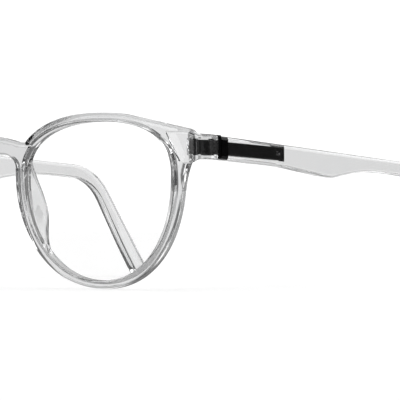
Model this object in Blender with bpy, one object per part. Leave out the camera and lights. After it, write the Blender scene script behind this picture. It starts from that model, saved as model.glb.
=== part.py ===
"""A clear, round spectacle frame with sprung temple hinges, at its real size.

X points to the wearer's left, Y to the back and Z up. The rims and the temple tips
stand on Z = 0, and the origin is under the middle of the object.
All sizes below are in millimetres. Pieces of the left side are built first, and the
right side repeats them as mirror images.
"""
import math

import bmesh
import bpy
import numpy as np
from mathutils import Matrix, Vector

MM = 0.001

# Eye openings and lenses
EYE_WIDTH = 46.6
EYE_HEIGHT = 43.2
NOSE_GAP = 20.5            # between the two openings
WIDEST_ABOVE_MIDDLE = 7.4  # the eye shape is widest above its middle
ROUND_UPPER = 2.33         # superellipse powers of the upper and lower half
ROUND_LOWER = 2.12
CROWN_SHIFT = 1.26         # the top and bottom of the eye lie outward of its middle
LENS_THICKNESS = 1.2
LENS_BULGE = 0.8
LENS_GRIP = 0.7            # how far the lens reaches into the groove
LENS_APEX = 0.5            # width of the lens edge at the bottom of the groove

# Front
RIM_WIDTH_ABOVE = 2.5
RIM_WIDTH_BESIDE = 2.9
RIM_WIDTH_BELOW = 2.4
RIM_DEPTH = 4.2            # front to back at the endpieces' height and above
RIM_DEPTH_BELOW = 2.8      # and at the rims' lowest point
FRONT_ROUND = 0.45
BACK_ROUND = 0.7
BACK_ROUND_BELOW = 1.6
OPENING_ROUND = 0.35
GROOVE_MIDDLE = 1.4        # behind the rim's front face
WRAP_RADIUS = 280.0        # the front curves back from side to side
UPRIGHT_RADIUS = 400.0     # and less from top to bottom
FRONT_TILT = 0.031         # its lower part lies back, run over rise
LAND = 0.06                # flat worn into whatever stands on the table
BRIDGE_HEIGHT = 5.15
BRIDGE_DROP = 6.25         # bridge's top edge below the highest point of the rims
BROW_FALL = 0.22           # slope of the brow line towards the endpiece
LUG_PROUD = 0.3            # endpiece stands proud of the rims' front face
LUG_REACH = 4.65           # endpiece's corner outside the rim
LUG_ROOT = 4.1             # endpiece starts this far inside the rim's outer edge
LUG_FLARE = 0.5            # lug's outer face at the joint outside the corner
LUG_LENGTH = 9.45          # from the endpiece's corner to its end
LUG_HEIGHT = 6.65
LUG_BELOW_BROW = 6.2       # lug's top below the highest point of the rims
CHAMFER = 1.2              # along the endpiece's top front edge
LUG_ROUND = 0.45           # corners of the endpiece, and of the flange over its end
PLATE_SHORT = 1.6          # the rims' plate ends this far inside the endpiece's corner
CORNER_TURN = 2.4          # over this length the brow line turns down there
BRIDGE_LEVEL_ABOVE = 0.46  # shares of the way to the rim that the bridge's edges stay level
BRIDGE_LEVEL_BELOW = 0.34

# Nose pads, moulded in one with the front
PAD_DEPTH = 3.8
PAD_SPLAY = 2.4
PAD_TOP_ANGLE = 154.0      # degrees round the eye, from the temporal side over the top
PAD_BOTTOM_ANGLE = 217.0
PAD_HALF_THICKNESS = 0.75
PAD_ROOT_INNER = 0.5       # the pad's root on the rim's back, outside the opening
PAD_ROOT_OUTER = 1.9
PAD_ROOT_DEPTH = 0.6       # and how far it reaches into the rim
PAD_LEAST = 0.05           # the pad's height where it runs out, above the rim's back

# Hinge
SIDE_THICKNESS = 4.2       # lug and temple at the joint
PIN_INBOARD = 1.3          # pin's axis inboard of the lug's inner face
PIN_RADIUS = 0.6
PIN_HEAD_RADIUS = 1.0
PIN_HEAD_HEIGHT = 0.4
PIN_SLOT = 0.25
PIN_SLOT_DEPTH = 0.22
PIN_CHAMFER = 0.1
KNUCKLE_RADIUS = 1.5
HINGE_HEIGHT = 4.0
TONGUE_KNUCKLE_HEIGHT = 1.4
JOINT_GAP = 0.3
FRONT_FLANGE = 1.35
LEAF_LENGTH = 7.5
LEAF_THICKNESS = 1.35
LEAF_LIFT = 0.2
HOUSING_FLANGE = 2.75
HOUSING_LENGTH = 30.2
HOUSING_THICKNESS = 3.3
HOUSING_HEIGHT = 3.7
HOUSING_OUTER_WALL = 0.45
HOUSING_SLOPE = 0.0437     # housing falls towards the back, rise over run
BORE_RADIUS = 1.2
BORE_DEPTH = 20.5
TONGUE_LENGTH = 6.2
TONGUE_THICKNESS = 1.5
ROD_RADIUS = 0.4
ROD_PROUD = 0.4            # the rod's end behind its nut
BUSH_LENGTH = 1.8
SPRING_TURNS = 9
SPRING_LENGTH = 8.4
SPRING_WIRE = 0.16
SPRING_MEAN_RADIUS = 0.78
NUT_LENGTH = 1.2
NUT_RADIUS = 1.0
POCKET_SPARE = 1.2         # air between the housing's end and the temple
HOUSING_SCREW_INSET = 1.6
HOUSING_SCREW_RADIUS = 0.5
HOUSING_SCREW_BITE = 1.1
HOUSING_SCREW_HEAD_RADIUS = 1.0
HOUSING_SCREW_HEAD_HEIGHT = 0.45
HOUSING_SCREW_POINT = 0.2
HOUSING_ROUND = 0.3
LEAF_ROUND = 0.2

# Temple
TEMPLE_LENGTH = 145.0      # from the joint along the top edge to the tip
TEMPLE_SLOPE = 0.064
TEMPLE_TOP_STEP = 0.25     # temple's top edge below the lug's at the joint
TEMPLE_STRAIGHT = 36.0     # its front stretch keeps one inner face
BEND_START = 95.0
BEND_RADIUS = 22.0
TIP_INWARD = 3.0
TIP_ROUND = 3.2            # length of the tip's round end
TIP_LEAST = 0.2            # the tip's last section, as a share of the full height
TIP_FLAT = 0.45            # the share of the width that the tip's end never loses
TEMPLE_ROUND = 1.0         # the temple's edges
UPRIGHT_UNTIL = 12.0       # its sections stand upright up to here
SQUARE_FROM = 52.0         # and square to its top edge from here
# Heights and thicknesses at distances behind the joint, and their last ones at the tip
HEIGHTS = [(0, 6.4), (10, 6.4), (30, 6.25), (44, 6.95), (56, 7.45), (63, 6.25), (70, 5.05),
           (78, 4.4), (90, 4.2), (112, 4.6), (132, 5.6), (TEMPLE_LENGTH, 5.8)]
THICKNESSES = [(0, SIDE_THICKNESS), (TEMPLE_STRAIGHT, 4.0), (62, 3.0), (90, 2.7), (125, 2.8),
               (TEMPLE_LENGTH, 3.0)]

CLEARANCE = 0.25           # between pieces that seat on each other
RUNNING = 0.1              # round pieces in their holes
OVERLAP = 0.05             # joined solids reach this far into each other
FLUSH = 0.02               # and their sides keep this much apart, so that no faces coincide

# Worked out from the sizes above
EYE_X = (NOSE_GAP + EYE_WIDTH) / 2
EYE_Z = EYE_HEIGHT / 2 + RIM_WIDTH_BELOW - LAND
RIM_TOP = EYE_Z + EYE_HEIGHT / 2 + RIM_WIDTH_ABOVE
RIM_OUTSIDE = EYE_X + EYE_WIDTH / 2 + RIM_WIDTH_BESIDE
CORNER_X = RIM_OUTSIDE + LUG_REACH
LUG_TOP = RIM_TOP - LUG_BELOW_BROW
LUG_BOTTOM = LUG_TOP - LUG_HEIGHT
LUG_MIDDLE = (LUG_TOP + LUG_BOTTOM) / 2
JOINT_X = CORNER_X + LUG_FLARE                 # outer face at the joint
INNER_X = JOINT_X - SIDE_THICKNESS
PIN_X = INNER_X - PIN_INBOARD
PIN_Z = LUG_MIDDLE - LEAF_LIFT

OPENING_SIDES = 64
CLEAR = (0.93, 0.94, 0.95, 1.0)
BLACK = (0.012, 0.012, 0.013, 1.0)
STEEL = (0.55, 0.55, 0.57, 1.0)


def wrap(x, z):
    """How far the front's surface lies back at a place on the wearer's face."""
    up = z - EYE_Z
    return x * x / (2 * WRAP_RADIUS) + up * up / (2 * UPRIGHT_RADIUS) - FRONT_TILT * up


def towards_lug(z, below, above):
    """A size that grows from the rims' lowest point to the endpieces' height."""
    return below + (above - below) * min(1.0, max(0.0, z / LUG_BOTTOM))


def rim_depth(z):
    return towards_lug(z, RIM_DEPTH_BELOW, RIM_DEPTH)


CORNER_Y = wrap(CORNER_X, LUG_MIDDLE) - LUG_PROUD
PIN_Y = CORNER_Y + LUG_LENGTH + FRONT_FLANGE + CLEARANCE + JOINT_GAP / 2


def material(name, colour, roughness, metallic=0.0, transmission=0.0):
    made = bpy.data.materials.new(name)
    made.use_nodes = True
    shader = made.node_tree.nodes["Principled BSDF"]
    shader.inputs["Base Color"].default_value = colour
    shader.inputs["Roughness"].default_value = roughness
    shader.inputs["Metallic"].default_value = metallic
    shader.inputs["Transmission Weight"].default_value = transmission
    made.diffuse_color = colour
    return made


def place(name, bm, finish=None, parent=None, sharp_degrees=35.0):
    """Turns a bmesh in millimetres into an object in metres."""
    bmesh.ops.recalc_face_normals(bm, faces=bm.faces)
    mesh = bpy.data.meshes.new(name)
    bm.to_mesh(mesh)
    bm.free()
    mesh.transform(Matrix.Scale(MM, 4))
    mesh.shade_smooth()
    mesh.set_sharp_from_angle(angle=math.radians(sharp_degrees))
    made = bpy.data.objects.new(name, mesh)
    bpy.context.scene.collection.objects.link(made)
    if finish:
        mesh.materials.append(finish)
    made.parent = parent
    return made


def boolean(target, tool, operation):
    """Joins a helper solid to a piece or cuts it away, and hides the helper."""
    change = target.modifiers.new(tool.name, "BOOLEAN")
    change.operation = operation
    change.object = tool
    change.solver = "EXACT"
    tool.hide_render = True
    tool.display_type = "WIRE"
    tool.parent = target.parent


def smooth_keys(keys, s):
    """Reads a rounded curve through (place, value) keys."""
    places = [k[0] for k in keys]
    values = [k[1] for k in keys]
    if s <= places[0]:
        return values[0]
    if s >= places[-1]:
        return values[-1]
    i = max(j for j in range(len(places) - 1) if places[j] <= s)
    span = places[i + 1] - places[i]
    slopes = []
    for j in (i, i + 1):
        low, high = max(j - 1, 0), min(j + 1, len(keys) - 1)
        slopes.append((values[high] - values[low]) / (places[high] - places[low]))
    t = (s - places[i]) / span
    return (values[i] * (2 * t**3 - 3 * t**2 + 1) + values[i + 1] * (3 * t**2 - 2 * t**3)
            + span * (slopes[0] * (t**3 - 2 * t**2 + t) + slopes[1] * (t**3 - t**2)))


def bezier(start, start_handle, end_handle, end, count):
    """Points along a cubic curve, without its last one."""
    made = []
    for i in range(count):
        t = i / count
        u = 1 - t
        made.append(tuple(u**3 * a + 3 * u * u * t * b + 3 * u * t * t * c + t**3 * d
                          for a, b, c, d in zip(start, start_handle, end_handle, end)))
    return made


def loft(sections):
    """A solid through a row of sections with the same number of points."""
    bm = bmesh.new()
    rings = [[bm.verts.new(p) for p in section] for section in sections]
    sides = len(sections[0])
    for low, high in zip(rings, rings[1:]):
        for i in range(sides):
            j = (i + 1) % sides
            bm.faces.new((low[i], low[j], high[j], high[i]))
    bm.faces.new(rings[0])
    bm.faces.new(rings[-1])
    bmesh.ops.triangulate(bm, faces=[f for f in bm.faces if len(f.verts) == 4])
    return bm


def box(low, high, shear=0.0, bevel=0.0):
    """A box between two corners. With a shear it falls towards the back."""
    bm = bmesh.new()
    bmesh.ops.create_cube(bm, size=1.0)
    for v in bm.verts:
        for i in range(3):
            v.co[i] = low[i] if v.co[i] < 0 else high[i]
    if bevel:
        bmesh.ops.bevel(bm, geom=list(bm.edges), offset=bevel, segments=1, profile=0.5,
                        affect="EDGES")
    fall(bm, shear)
    return bm


def fall(bm, shear):
    """Lowers what lies behind the knuckles in proportion to its distance."""
    for v in bm.verts:
        v.co.z -= shear * max(0.0, v.co.y - KNUCKLE_RADIUS - RUNNING)


def cylinder(radius, low, high, axis="Z", centre=(0.0, 0.0), sides=24, shear=0.0):
    """A round bar along an axis. The centre is given in the two other axes."""
    return turned([(radius, low), (radius, high)], axis, centre, sides, shear)


def turned(profile, axis="Z", centre=(0.0, 0.0), sides=24, shear=0.0):
    """A solid turned from (radius, place along the axis) steps."""
    bm = loft([[(r * math.cos(2 * math.pi * i / sides), r * math.sin(2 * math.pi * i / sides), at)
                for i in range(sides)] for r, at in profile])
    turn = {"Z": Matrix.Identity(3), "Y": Matrix.Rotation(-math.pi / 2, 3, "X"),
            "X": Matrix.Rotation(math.pi / 2, 3, "Y")}[axis]
    shift = {"Z": (centre[0], centre[1], 0.0), "Y": (centre[0], 0.0, centre[1]),
             "X": (0.0, centre[0], centre[1])}[axis]
    for v in bm.verts:
        v.co = turn @ v.co + Vector(shift)
    fall(bm, shear)
    return bm


def rounded(corners, radius):
    """A polygon's outline in space with each corner rounded by three points."""
    made = []
    count = len(corners)
    for i, corner in enumerate(corners):
        here = Vector(corner)
        to_last = (Vector(corners[i - 1]) - here)
        to_next = (Vector(corners[(i + 1) % count]) - here)
        r = min(radius, 0.45 * to_last.length, 0.45 * to_next.length)
        first = here + r * to_last.normalized()
        last = here + r * to_next.normalized()
        made += [first, (first + last) / 4 + here / 2, last]
    return made


# The eye's outline: polar readings round the eye's middle, for any offset from the opening.
# A rim share of 1 adds the rim's width, which differs above, beside and below the eye.

def eye_ring(offset, rim_share, count=1440):
    turn = np.linspace(0.0, 2 * math.pi, count, endpoint=False)
    cosine, sine = np.cos(turn), np.sin(turn)
    upper = sine >= 0
    height = np.where(upper, EYE_HEIGHT / 2 - WIDEST_ABOVE_MIDDLE, EYE_HEIGHT / 2 + WIDEST_ABOVE_MIDDLE)
    power = np.where(upper, ROUND_UPPER, ROUND_LOWER)
    x = EYE_WIDTH / 2 * np.sign(cosine) * np.abs(cosine) ** (2 / power) + CROWN_SHIFT * sine**2
    z = WIDEST_ABOVE_MIDDLE + height * np.sign(sine) * np.abs(sine) ** (2 / power)
    along_x = np.roll(x, -2) - np.roll(x, 2)
    along_z = np.roll(z, -2) - np.roll(z, 2)
    size = np.hypot(along_x, along_z)
    normal_x, normal_z = along_z / size, -along_x / size
    width = (RIM_WIDTH_BESIDE + (RIM_WIDTH_ABOVE - RIM_WIDTH_BESIDE) * np.clip(normal_z, 0, 1) ** 1.5
             + (RIM_WIDTH_BELOW - RIM_WIDTH_BESIDE) * np.clip(-normal_z, 0, 1) ** 1.5)
    reach = offset + rim_share * width
    x = x + reach * normal_x
    z = z + reach * normal_z
    return np.degrees(np.arctan2(z, x)), x + EYE_X, z + EYE_Z


RINGS = {}


def eye_point(degrees, offset, rim_share=0.0):
    """The point at an angle round the eye, on the outline at an offset from the opening."""
    if (offset, rim_share) not in RINGS:
        RINGS[offset, rim_share] = eye_ring(offset, rim_share)
    angle, x, z = RINGS[offset, rim_share]
    return (float(np.interp(degrees, angle, x, period=360)),
            float(np.interp(degrees, angle, z, period=360)))


def rim_point(degrees):
    """The point at an angle round the eye, on the rim's outer edge."""
    return eye_point(degrees, 0.0, 1.0)


def eye_loop(offset, sides=OPENING_SIDES):
    return [eye_point(360 * i / sides, offset) for i in range(sides)]


# Front frame

BRIDGE_TOP = RIM_TOP - BRIDGE_DROP
BRIDGE_BOTTOM = BRIDGE_TOP - BRIDGE_HEIGHT
BRIDGE_ANGLE = 143.5      # where the bridge's top edge meets the rim, round the eye
BROW_ANGLE = 69.5         # where the brow line leaves the rim
LUG_ANGLE = 3.0           # where the endpiece's lower edge meets the rim
NOSE_ANGLE = 164.0 - 360  # where the bridge's lower edge meets the rim
STEP = 5.6


def arc_of_rim(start, end):
    count = max(2, round(abs(end - start) / STEP))
    return [rim_point(start + (end - start) * i / count) for i in range(count + 1)]


def brow_height(x):
    """Height of the straight brow line that runs from the rim to the endpiece."""
    start_x, start_z = rim_point(BROW_ANGLE)
    return start_z - BROW_FALL * (x - start_x)


def half_outline():
    """The front's outer edge from the bridge's top round to its underside, in X and Z."""
    meet_x, meet_z = rim_point(BRIDGE_ANGLE)
    nose_x, nose_z = rim_point(NOSE_ANGLE)
    end_x = CORNER_X - PLATE_SHORT
    end_z = brow_height(end_x)
    points = bezier((0.0, BRIDGE_TOP), (meet_x * BRIDGE_LEVEL_ABOVE, BRIDGE_TOP),
                    (meet_x - 0.7, meet_z - 1.7), (meet_x, meet_z), 9)
    points += arc_of_rim(BRIDGE_ANGLE, BROW_ANGLE)
    points += [(end_x - k * CORNER_TURN, brow_height(end_x - k * CORNER_TURN)) for k in (4, 2, 1)]
    points += [(end_x - 0.9, end_z - 0.15), (end_x, end_z - 1.2), (end_x, LUG_BOTTOM + 1.2)]
    low_x, low_z = rim_point(LUG_ANGLE)
    rim_x, rim_z = rim_point(LUG_ANGLE + 9.0)
    points += bezier((end_x - 1.2, LUG_BOTTOM - 0.3), (rim_x + 0.4, rim_z + 2.0),
                     (low_x + 0.25, low_z + 2.6), (low_x, low_z), 5)
    points += arc_of_rim(LUG_ANGLE, NOSE_ANGLE)
    points += bezier((nose_x, nose_z), (nose_x + 0.15, nose_z + 4.0), (nose_x - 1.75, BRIDGE_BOTTOM),
                     (nose_x * BRIDGE_LEVEL_BELOW, BRIDGE_BOTTOM), 7)[1:]
    points.append((nose_x * BRIDGE_LEVEL_BELOW, BRIDGE_BOTTOM))
    return points


def drawn_in(outline, distances):
    """The outline with each point moved inward by its distance, along its own normal."""
    made = []
    count = len(outline)
    for i, distance in enumerate(distances):
        before, after = outline[i - 1], outline[(i + 1) % count]
        dx, dz = after[0] - before[0], after[1] - before[1]
        size = math.hypot(dx, dz)
        made.append((outline[i][0] + distance * dz / size, outline[i][1] - distance * dx / size))
    return made


def wall(bm, loops):
    """Quads between neighbouring loops of (x, y, z) points. Returns the end loops."""
    rings = [[bm.verts.new(point) for point in loop] for loop in loops]
    sides = len(rings[0])
    for low, high in zip(rings, rings[1:]):
        for i in range(sides):
            j = (i + 1) % sides
            bm.faces.new((low[i], low[j], high[j], high[i]))
    return rings[0], rings[-1]


def ring_edges(bm, ring):
    return [bm.edges.get((ring[i - 1], ring[i])) for i in range(len(ring))]


def opening_loops(side):
    """The opening's wall from front to back, with the lens groove."""
    mouth = LENS_THICKNESS / 2 + CLEARANCE
    bottom = LENS_APEX / 2 + CLEARANCE
    deep = LENS_GRIP + CLEARANCE
    front = [(OPENING_ROUND, 0.0), (0.0, OPENING_ROUND),
             (0.0, GROOVE_MIDDLE - mouth), (deep, GROOVE_MIDDLE - bottom),
             (deep, GROOVE_MIDDLE + bottom), (0.0, GROOVE_MIDDLE + mouth)]
    back = [(0.0, OPENING_ROUND), (OPENING_ROUND, 0.0)]
    loops = [[(side * x, depth, z) for x, z in eye_loop(offset)] for offset, depth in front]
    loops += [[(side * x, rim_depth(z) - rise, z) for x, z in eye_loop(offset)] for offset, rise in back]
    return loops


def edge_loops(outline):
    """The outer wall from front to back, with rounded edges."""
    loops = []
    for degrees in (0, 45, 90):
        turn = math.radians(degrees)
        inward = FRONT_ROUND * (1 - math.sin(turn))
        depth = FRONT_ROUND * (1 - math.cos(turn))
        loops.append([(x, depth, z) for x, z in drawn_in(outline, [inward] * len(outline))])
    for degrees in (90, 45, 0):
        turn = math.radians(degrees)
        rounds = [towards_lug(z, BACK_ROUND_BELOW, BACK_ROUND) for x, z in outline]
        inner = drawn_in(outline, [r * (1 - math.sin(turn)) for r in rounds])
        loops.append([(x, rim_depth(z) - r * (1 - math.cos(turn)), z) for (x, z), r in zip(inner, rounds)])
    return loops


def front_plate():
    """Rims and bridge in one plate with rounded edges, and a lens groove in each opening."""
    half = half_outline()
    outline = half + [(-x, z) for x, z in reversed(half) if x > 0.01]
    bm = bmesh.new()
    fronts, backs = [], []
    for loops in (edge_loops(outline), opening_loops(1), opening_loops(-1)):
        first, last = wall(bm, loops)
        fronts.append(first)
        backs.append(last)
    for rings in (fronts, backs):
        edges = [edge for ring in rings for edge in ring_edges(bm, ring)]
        bmesh.ops.triangle_fill(bm, use_beauty=True, use_dissolve=False, edges=edges,
                                normal=(0.0, 1.0, 0.0))
    for v in bm.verts:
        v.co.z = max(v.co.z, 0.0)
        v.co.y += wrap(v.co.x, v.co.z)
    return bm


def lug():
    """The endpiece: it starts slanted on the rim, turns the corner and runs back."""
    def section(outer, inner, top, bottom, slant=0.0, chamfer=CHAMFER):
        shift = slant * (top - bottom)
        out_x, out_y = outer
        in_x, in_y = inner
        depth = Vector((in_x - out_x, in_y - out_y)).normalized() * chamfer
        return rounded([
            (out_x + shift, out_y, bottom), (in_x + shift, in_y, bottom), (in_x, in_y, top),
            (out_x + depth.x, out_y + depth.y, top), (out_x, out_y, top - chamfer)], LUG_ROUND)

    def face(x):
        return wrap(x, LUG_MIDDLE) - LUG_PROUD

    def back(x):
        return wrap(x, LUG_MIDDLE) + RIM_DEPTH - BACK_ROUND

    root_x = RIM_OUTSIDE - LUG_ROOT
    edge_x = RIM_OUTSIDE - 1.5
    beside_x = RIM_OUTSIDE + 1.6
    turn_x = CORNER_X - 0.7
    corner_y = face(CORNER_X)
    end_y = PIN_Y - JOINT_GAP / 2 - FRONT_FLANGE - CLEARANCE
    middle_y = (corner_y + end_y) / 2
    sections = [
        section((root_x, face(root_x)), (root_x, back(root_x) - 0.3),
                brow_height(root_x) - 1.0, LUG_BOTTOM - 0.5, slant=0.48),
        section((edge_x, face(edge_x)), (edge_x - 0.9, back(edge_x - 0.9)),
                brow_height(edge_x) - 0.4, LUG_BOTTOM - 1.1, slant=0.32),
        section((beside_x, face(beside_x)), (INNER_X - 1.6, back(INNER_X - 1.6) + 0.3),
                brow_height(beside_x) + 0.2, LUG_BOTTOM - 1.2, slant=0.12),
        section((turn_x, face(turn_x)), (INNER_X - 0.6, back(INNER_X - 0.6) + 0.9),
                brow_height(turn_x) - 0.1, LUG_BOTTOM - 0.8, slant=0.03, chamfer=1.0),
        section((CORNER_X, corner_y + 0.75), (INNER_X - 0.15, back(INNER_X) + 1.7),
                LUG_TOP + 0.55, LUG_BOTTOM - 0.3, chamfer=0.9),
        section((CORNER_X + 0.15, corner_y + 2.4), (INNER_X, back(INNER_X) + 2.4),
                LUG_TOP + 0.3, LUG_BOTTOM, chamfer=0.75),
        section((JOINT_X, middle_y + 2.4), (INNER_X, middle_y + 2.9),
                LUG_TOP + 0.15, LUG_BOTTOM, chamfer=0.55),
        section((JOINT_X, end_y), (INNER_X, end_y), LUG_TOP, LUG_BOTTOM, chamfer=LUG_ROUND),
    ]
    return loft(sections)


def nose_pad():
    """A fin that grows from the rim's back beside the nose and splays outward."""
    sections = []
    steps = 12
    for k in range(steps + 1):
        t = k / steps
        angle = PAD_TOP_ANGLE + (PAD_BOTTOM_ANGLE - PAD_TOP_ANGLE) * t
        swell = math.sin(math.pi * t)
        tip = (PAD_ROOT_INNER + PAD_ROOT_OUTER) / 2 - PAD_SPLAY * swell
        inner, outer = tip - PAD_HALF_THICKNESS, tip + PAD_HALF_THICKNESS
        base = rim_depth(eye_point(angle, 0.0)[1]) - PAD_ROOT_DEPTH
        height = PAD_ROOT_DEPTH + PAD_LEAST + PAD_DEPTH * swell ** 0.8
        rows = [(PAD_ROOT_INNER, base),
                (PAD_ROOT_INNER + 0.55 * (inner - PAD_ROOT_INNER), base + 0.6 * height),
                (inner, base + 0.86 * height), (tip, base + height), (outer, base + 0.88 * height),
                (PAD_ROOT_OUTER + 0.5 * (outer - PAD_ROOT_OUTER), base + 0.5 * height),
                (PAD_ROOT_OUTER, base)]
        section = []
        for offset, depth in rows:
            x, z = eye_point(angle, round(offset, 3))
            section.append((x, depth + wrap(x, z), z))
        sections.append(section)
    return loft(sections)


def leaf_pocket():
    """The slot in the lug that the front leaf is pressed into."""
    front_y = PIN_Y - JOINT_GAP / 2 - FRONT_FLANGE - LEAF_LENGTH - CLEARANCE
    low = (PIN_X + PIN_INBOARD - CLEARANCE, front_y, LUG_MIDDLE - HINGE_HEIGHT / 2 - CLEARANCE)
    high = (INNER_X + LEAF_THICKNESS + CLEARANCE, PIN_Y, LUG_MIDDLE + HINGE_HEIGHT / 2 + CLEARANCE)
    return box(low, high)


def flip(bm):
    """The mirror image of a bmesh, for the wearer's right."""
    for v in bm.verts:
        v.co.x = -v.co.x
    return bm


def build_front(clear, root):
    front = place("front_frame", front_plate(), clear, root)
    for side, turn in (("left", lambda bm: bm), ("right", flip)):
        boolean(front, place("lug_" + side, turn(lug())), "UNION")
        boolean(front, place("pad_" + side, turn(nose_pad())), "UNION")
        boolean(front, place("leaf_pocket_" + side, turn(leaf_pocket())), "DIFFERENCE")
    return front


# Lenses

def build_lens(clear, root):
    """A curved lens of even thickness whose edge is ground to fit the groove."""
    def face_loop(share, half):
        depth = GROOVE_MIDDLE + half - LENS_BULGE * (1 - share**2)
        return [share_point(p, share, depth) for p in eye_loop(0.0)]

    def edge_loop(half):
        return [(x, GROOVE_MIDDLE + half, z) for x, z in eye_loop(LENS_GRIP)]

    shares = [0.6, 1.0]
    loops = [face_loop(share, -LENS_THICKNESS / 2) for share in shares]
    loops += [edge_loop(-LENS_APEX / 2), edge_loop(LENS_APEX / 2)]
    loops += [face_loop(share, LENS_THICKNESS / 2) for share in reversed(shares)]
    bm = bmesh.new()
    ends = wall(bm, loops)
    for ring, offset in zip(ends, (-LENS_THICKNESS / 2, LENS_THICKNESS / 2)):
        middle = bm.verts.new((EYE_X, GROOVE_MIDDLE + offset - LENS_BULGE, EYE_Z))
        for i in range(len(ring)):
            bm.faces.new((ring[i - 1], ring[i], middle))
    for v in bm.verts:
        v.co.y += wrap(v.co.x, v.co.z)
    return place("lens_left", bm, clear, root)


def share_point(point, share, depth):
    """A point of the eye's outline moved towards the eye's middle, at a depth."""
    return (EYE_X + (point[0] - EYE_X) * share, depth, EYE_Z + (point[1] - EYE_Z) * share)


# Hinge pieces, in millimetres from the pin's middle: X outward, Y back, Z up

INNER = PIN_INBOARD
OUTER = PIN_INBOARD + SIDE_THICKNESS
KNUCKLE_TOP = HINGE_HEIGHT / 2
HALF_TONGUE = TONGUE_KNUCKLE_HEIGHT / 2
FRONT_FACE = -JOINT_GAP / 2
BACK_FACE = JOINT_GAP / 2
HOUSING_OUT = INNER + 1.8
HOUSING_IN = HOUSING_OUT - HOUSING_THICKNESS
BORE_X = HOUSING_OUT - HOUSING_OUTER_WALL - BORE_RADIUS
RELIEF_RADIUS = KNUCKLE_RADIUS + CLEARANCE
BUSH_START = TONGUE_LENGTH + CLEARANCE
SPRING_START = BUSH_START + BUSH_LENGTH + RUNNING + SPRING_WIRE
SPRING_END = SPRING_START + SPRING_LENGTH
NUT_START = SPRING_END + SPRING_WIRE + RUNNING
ROD_END = NUT_START + NUT_LENGTH + ROD_PROUD
SCREW_Y = BACK_FACE + HOUSING_LENGTH - HOUSING_SCREW_INSET
TEMPLE_START = BACK_FACE + HOUSING_FLANGE + CLEARANCE


def front_leaf(black, pin):
    """Plate in the lug, flange over the lug's end and two knuckles for the screw."""
    bottom, top = LUG_BOTTOM - PIN_Z, LUG_TOP - PIN_Z
    corners = [(INNER, bottom), (OUTER, bottom), (OUTER, top), (INNER, top)]
    flange = loft([rounded([(x, y, z) for x, z in corners], LUG_ROUND)
                   for y in (FRONT_FACE - FRONT_FLANGE, FRONT_FACE)])
    leaf = place("front_leaf_left", flange, black, pin)
    middle = LUG_MIDDLE - PIN_Z
    plate = box((INNER + OVERLAP, FRONT_FACE - FRONT_FLANGE - LEAF_LENGTH, middle - HINGE_HEIGHT / 2),
                (INNER + LEAF_THICKNESS, FRONT_FACE - FRONT_FLANGE / 2, middle + HINGE_HEIGHT / 2),
                bevel=LEAF_ROUND)
    boolean(leaf, place("leaf_plate", plate), "UNION")
    arms = box((-2 * RUNNING, FRONT_FACE - FRONT_FLANGE + OVERLAP, -KNUCKLE_TOP),
               (INNER + LEAF_THICKNESS / 2, FRONT_FACE - OVERLAP, KNUCKLE_TOP))
    boolean(leaf, place("leaf_arms", arms), "UNION")
    knuckles = cylinder(KNUCKLE_RADIUS, -KNUCKLE_TOP - FLUSH, KNUCKLE_TOP + FLUSH)
    boolean(leaf, place("leaf_knuckles", knuckles), "UNION")
    slot = cylinder(RELIEF_RADIUS, -HALF_TONGUE - CLEARANCE, HALF_TONGUE + CLEARANCE, sides=32)
    boolean(leaf, place("leaf_slot", slot), "DIFFERENCE")
    seat = KNUCKLE_TOP - PIN_HEAD_HEIGHT - RUNNING
    hole = turned([(PIN_RADIUS + RUNNING, -HINGE_HEIGHT), (PIN_RADIUS + RUNNING, seat),
                   (PIN_HEAD_RADIUS + RUNNING, seat), (PIN_HEAD_RADIUS + RUNNING, HINGE_HEIGHT)])
    boolean(leaf, place("leaf_hole", hole), "DIFFERENCE")
    return leaf


def hinge_screw(steel, pin):
    head = KNUCKLE_TOP - PIN_HEAD_HEIGHT
    screw = place("hinge_screw_left",
                  turned([(PIN_RADIUS - PIN_CHAMFER, -KNUCKLE_TOP), (PIN_RADIUS, -KNUCKLE_TOP + PIN_CHAMFER),
                          (PIN_RADIUS, head), (PIN_HEAD_RADIUS, head),
                          (PIN_HEAD_RADIUS, KNUCKLE_TOP - PIN_CHAMFER),
                          (PIN_HEAD_RADIUS - PIN_CHAMFER, KNUCKLE_TOP)]),
                  steel, pin)
    slot = box((-2 * PIN_HEAD_RADIUS, -PIN_SLOT / 2, KNUCKLE_TOP - PIN_SLOT_DEPTH),
               (2 * PIN_HEAD_RADIUS, PIN_SLOT / 2, KNUCKLE_TOP + PIN_SLOT_DEPTH))
    boolean(screw, place("screw_slot", slot), "DIFFERENCE")
    return screw


def temple_section(s, drop):
    """The temple's cross-section at a distance behind the joint along its top edge."""
    x, y, z, angle = temple_path(s, drop)
    full = smooth_keys(HEIGHTS, s)
    width = smooth_keys(THICKNESSES, s)
    into_tip = max(0.0, s - TEMPLE_LENGTH + TIP_ROUND) / TIP_ROUND
    shrink = math.sqrt(max(TIP_LEAST**2, 1 - into_tip**2))
    tilt = angle * min(1.0, max(0.0, (s - UPRIGHT_UNTIL) / (SQUARE_FROM - UPRIGHT_UNTIL)))
    up = Vector((0.0, math.sin(tilt), math.cos(tilt)))
    middle = Vector((x, y, z)) - up * full / 2
    half_height = full / 2 * shrink
    half_width = width / 2 * (TIP_FLAT + (1 - TIP_FLAT) * shrink)
    corners = [middle + Vector((sx * half_width, 0, 0)) + up * sz * half_height
               for sx, sz in ((-1, -1), (1, -1), (1, 1), (-1, 1))]
    return rounded(corners, min(TEMPLE_ROUND, 0.7 * half_width))


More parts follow.
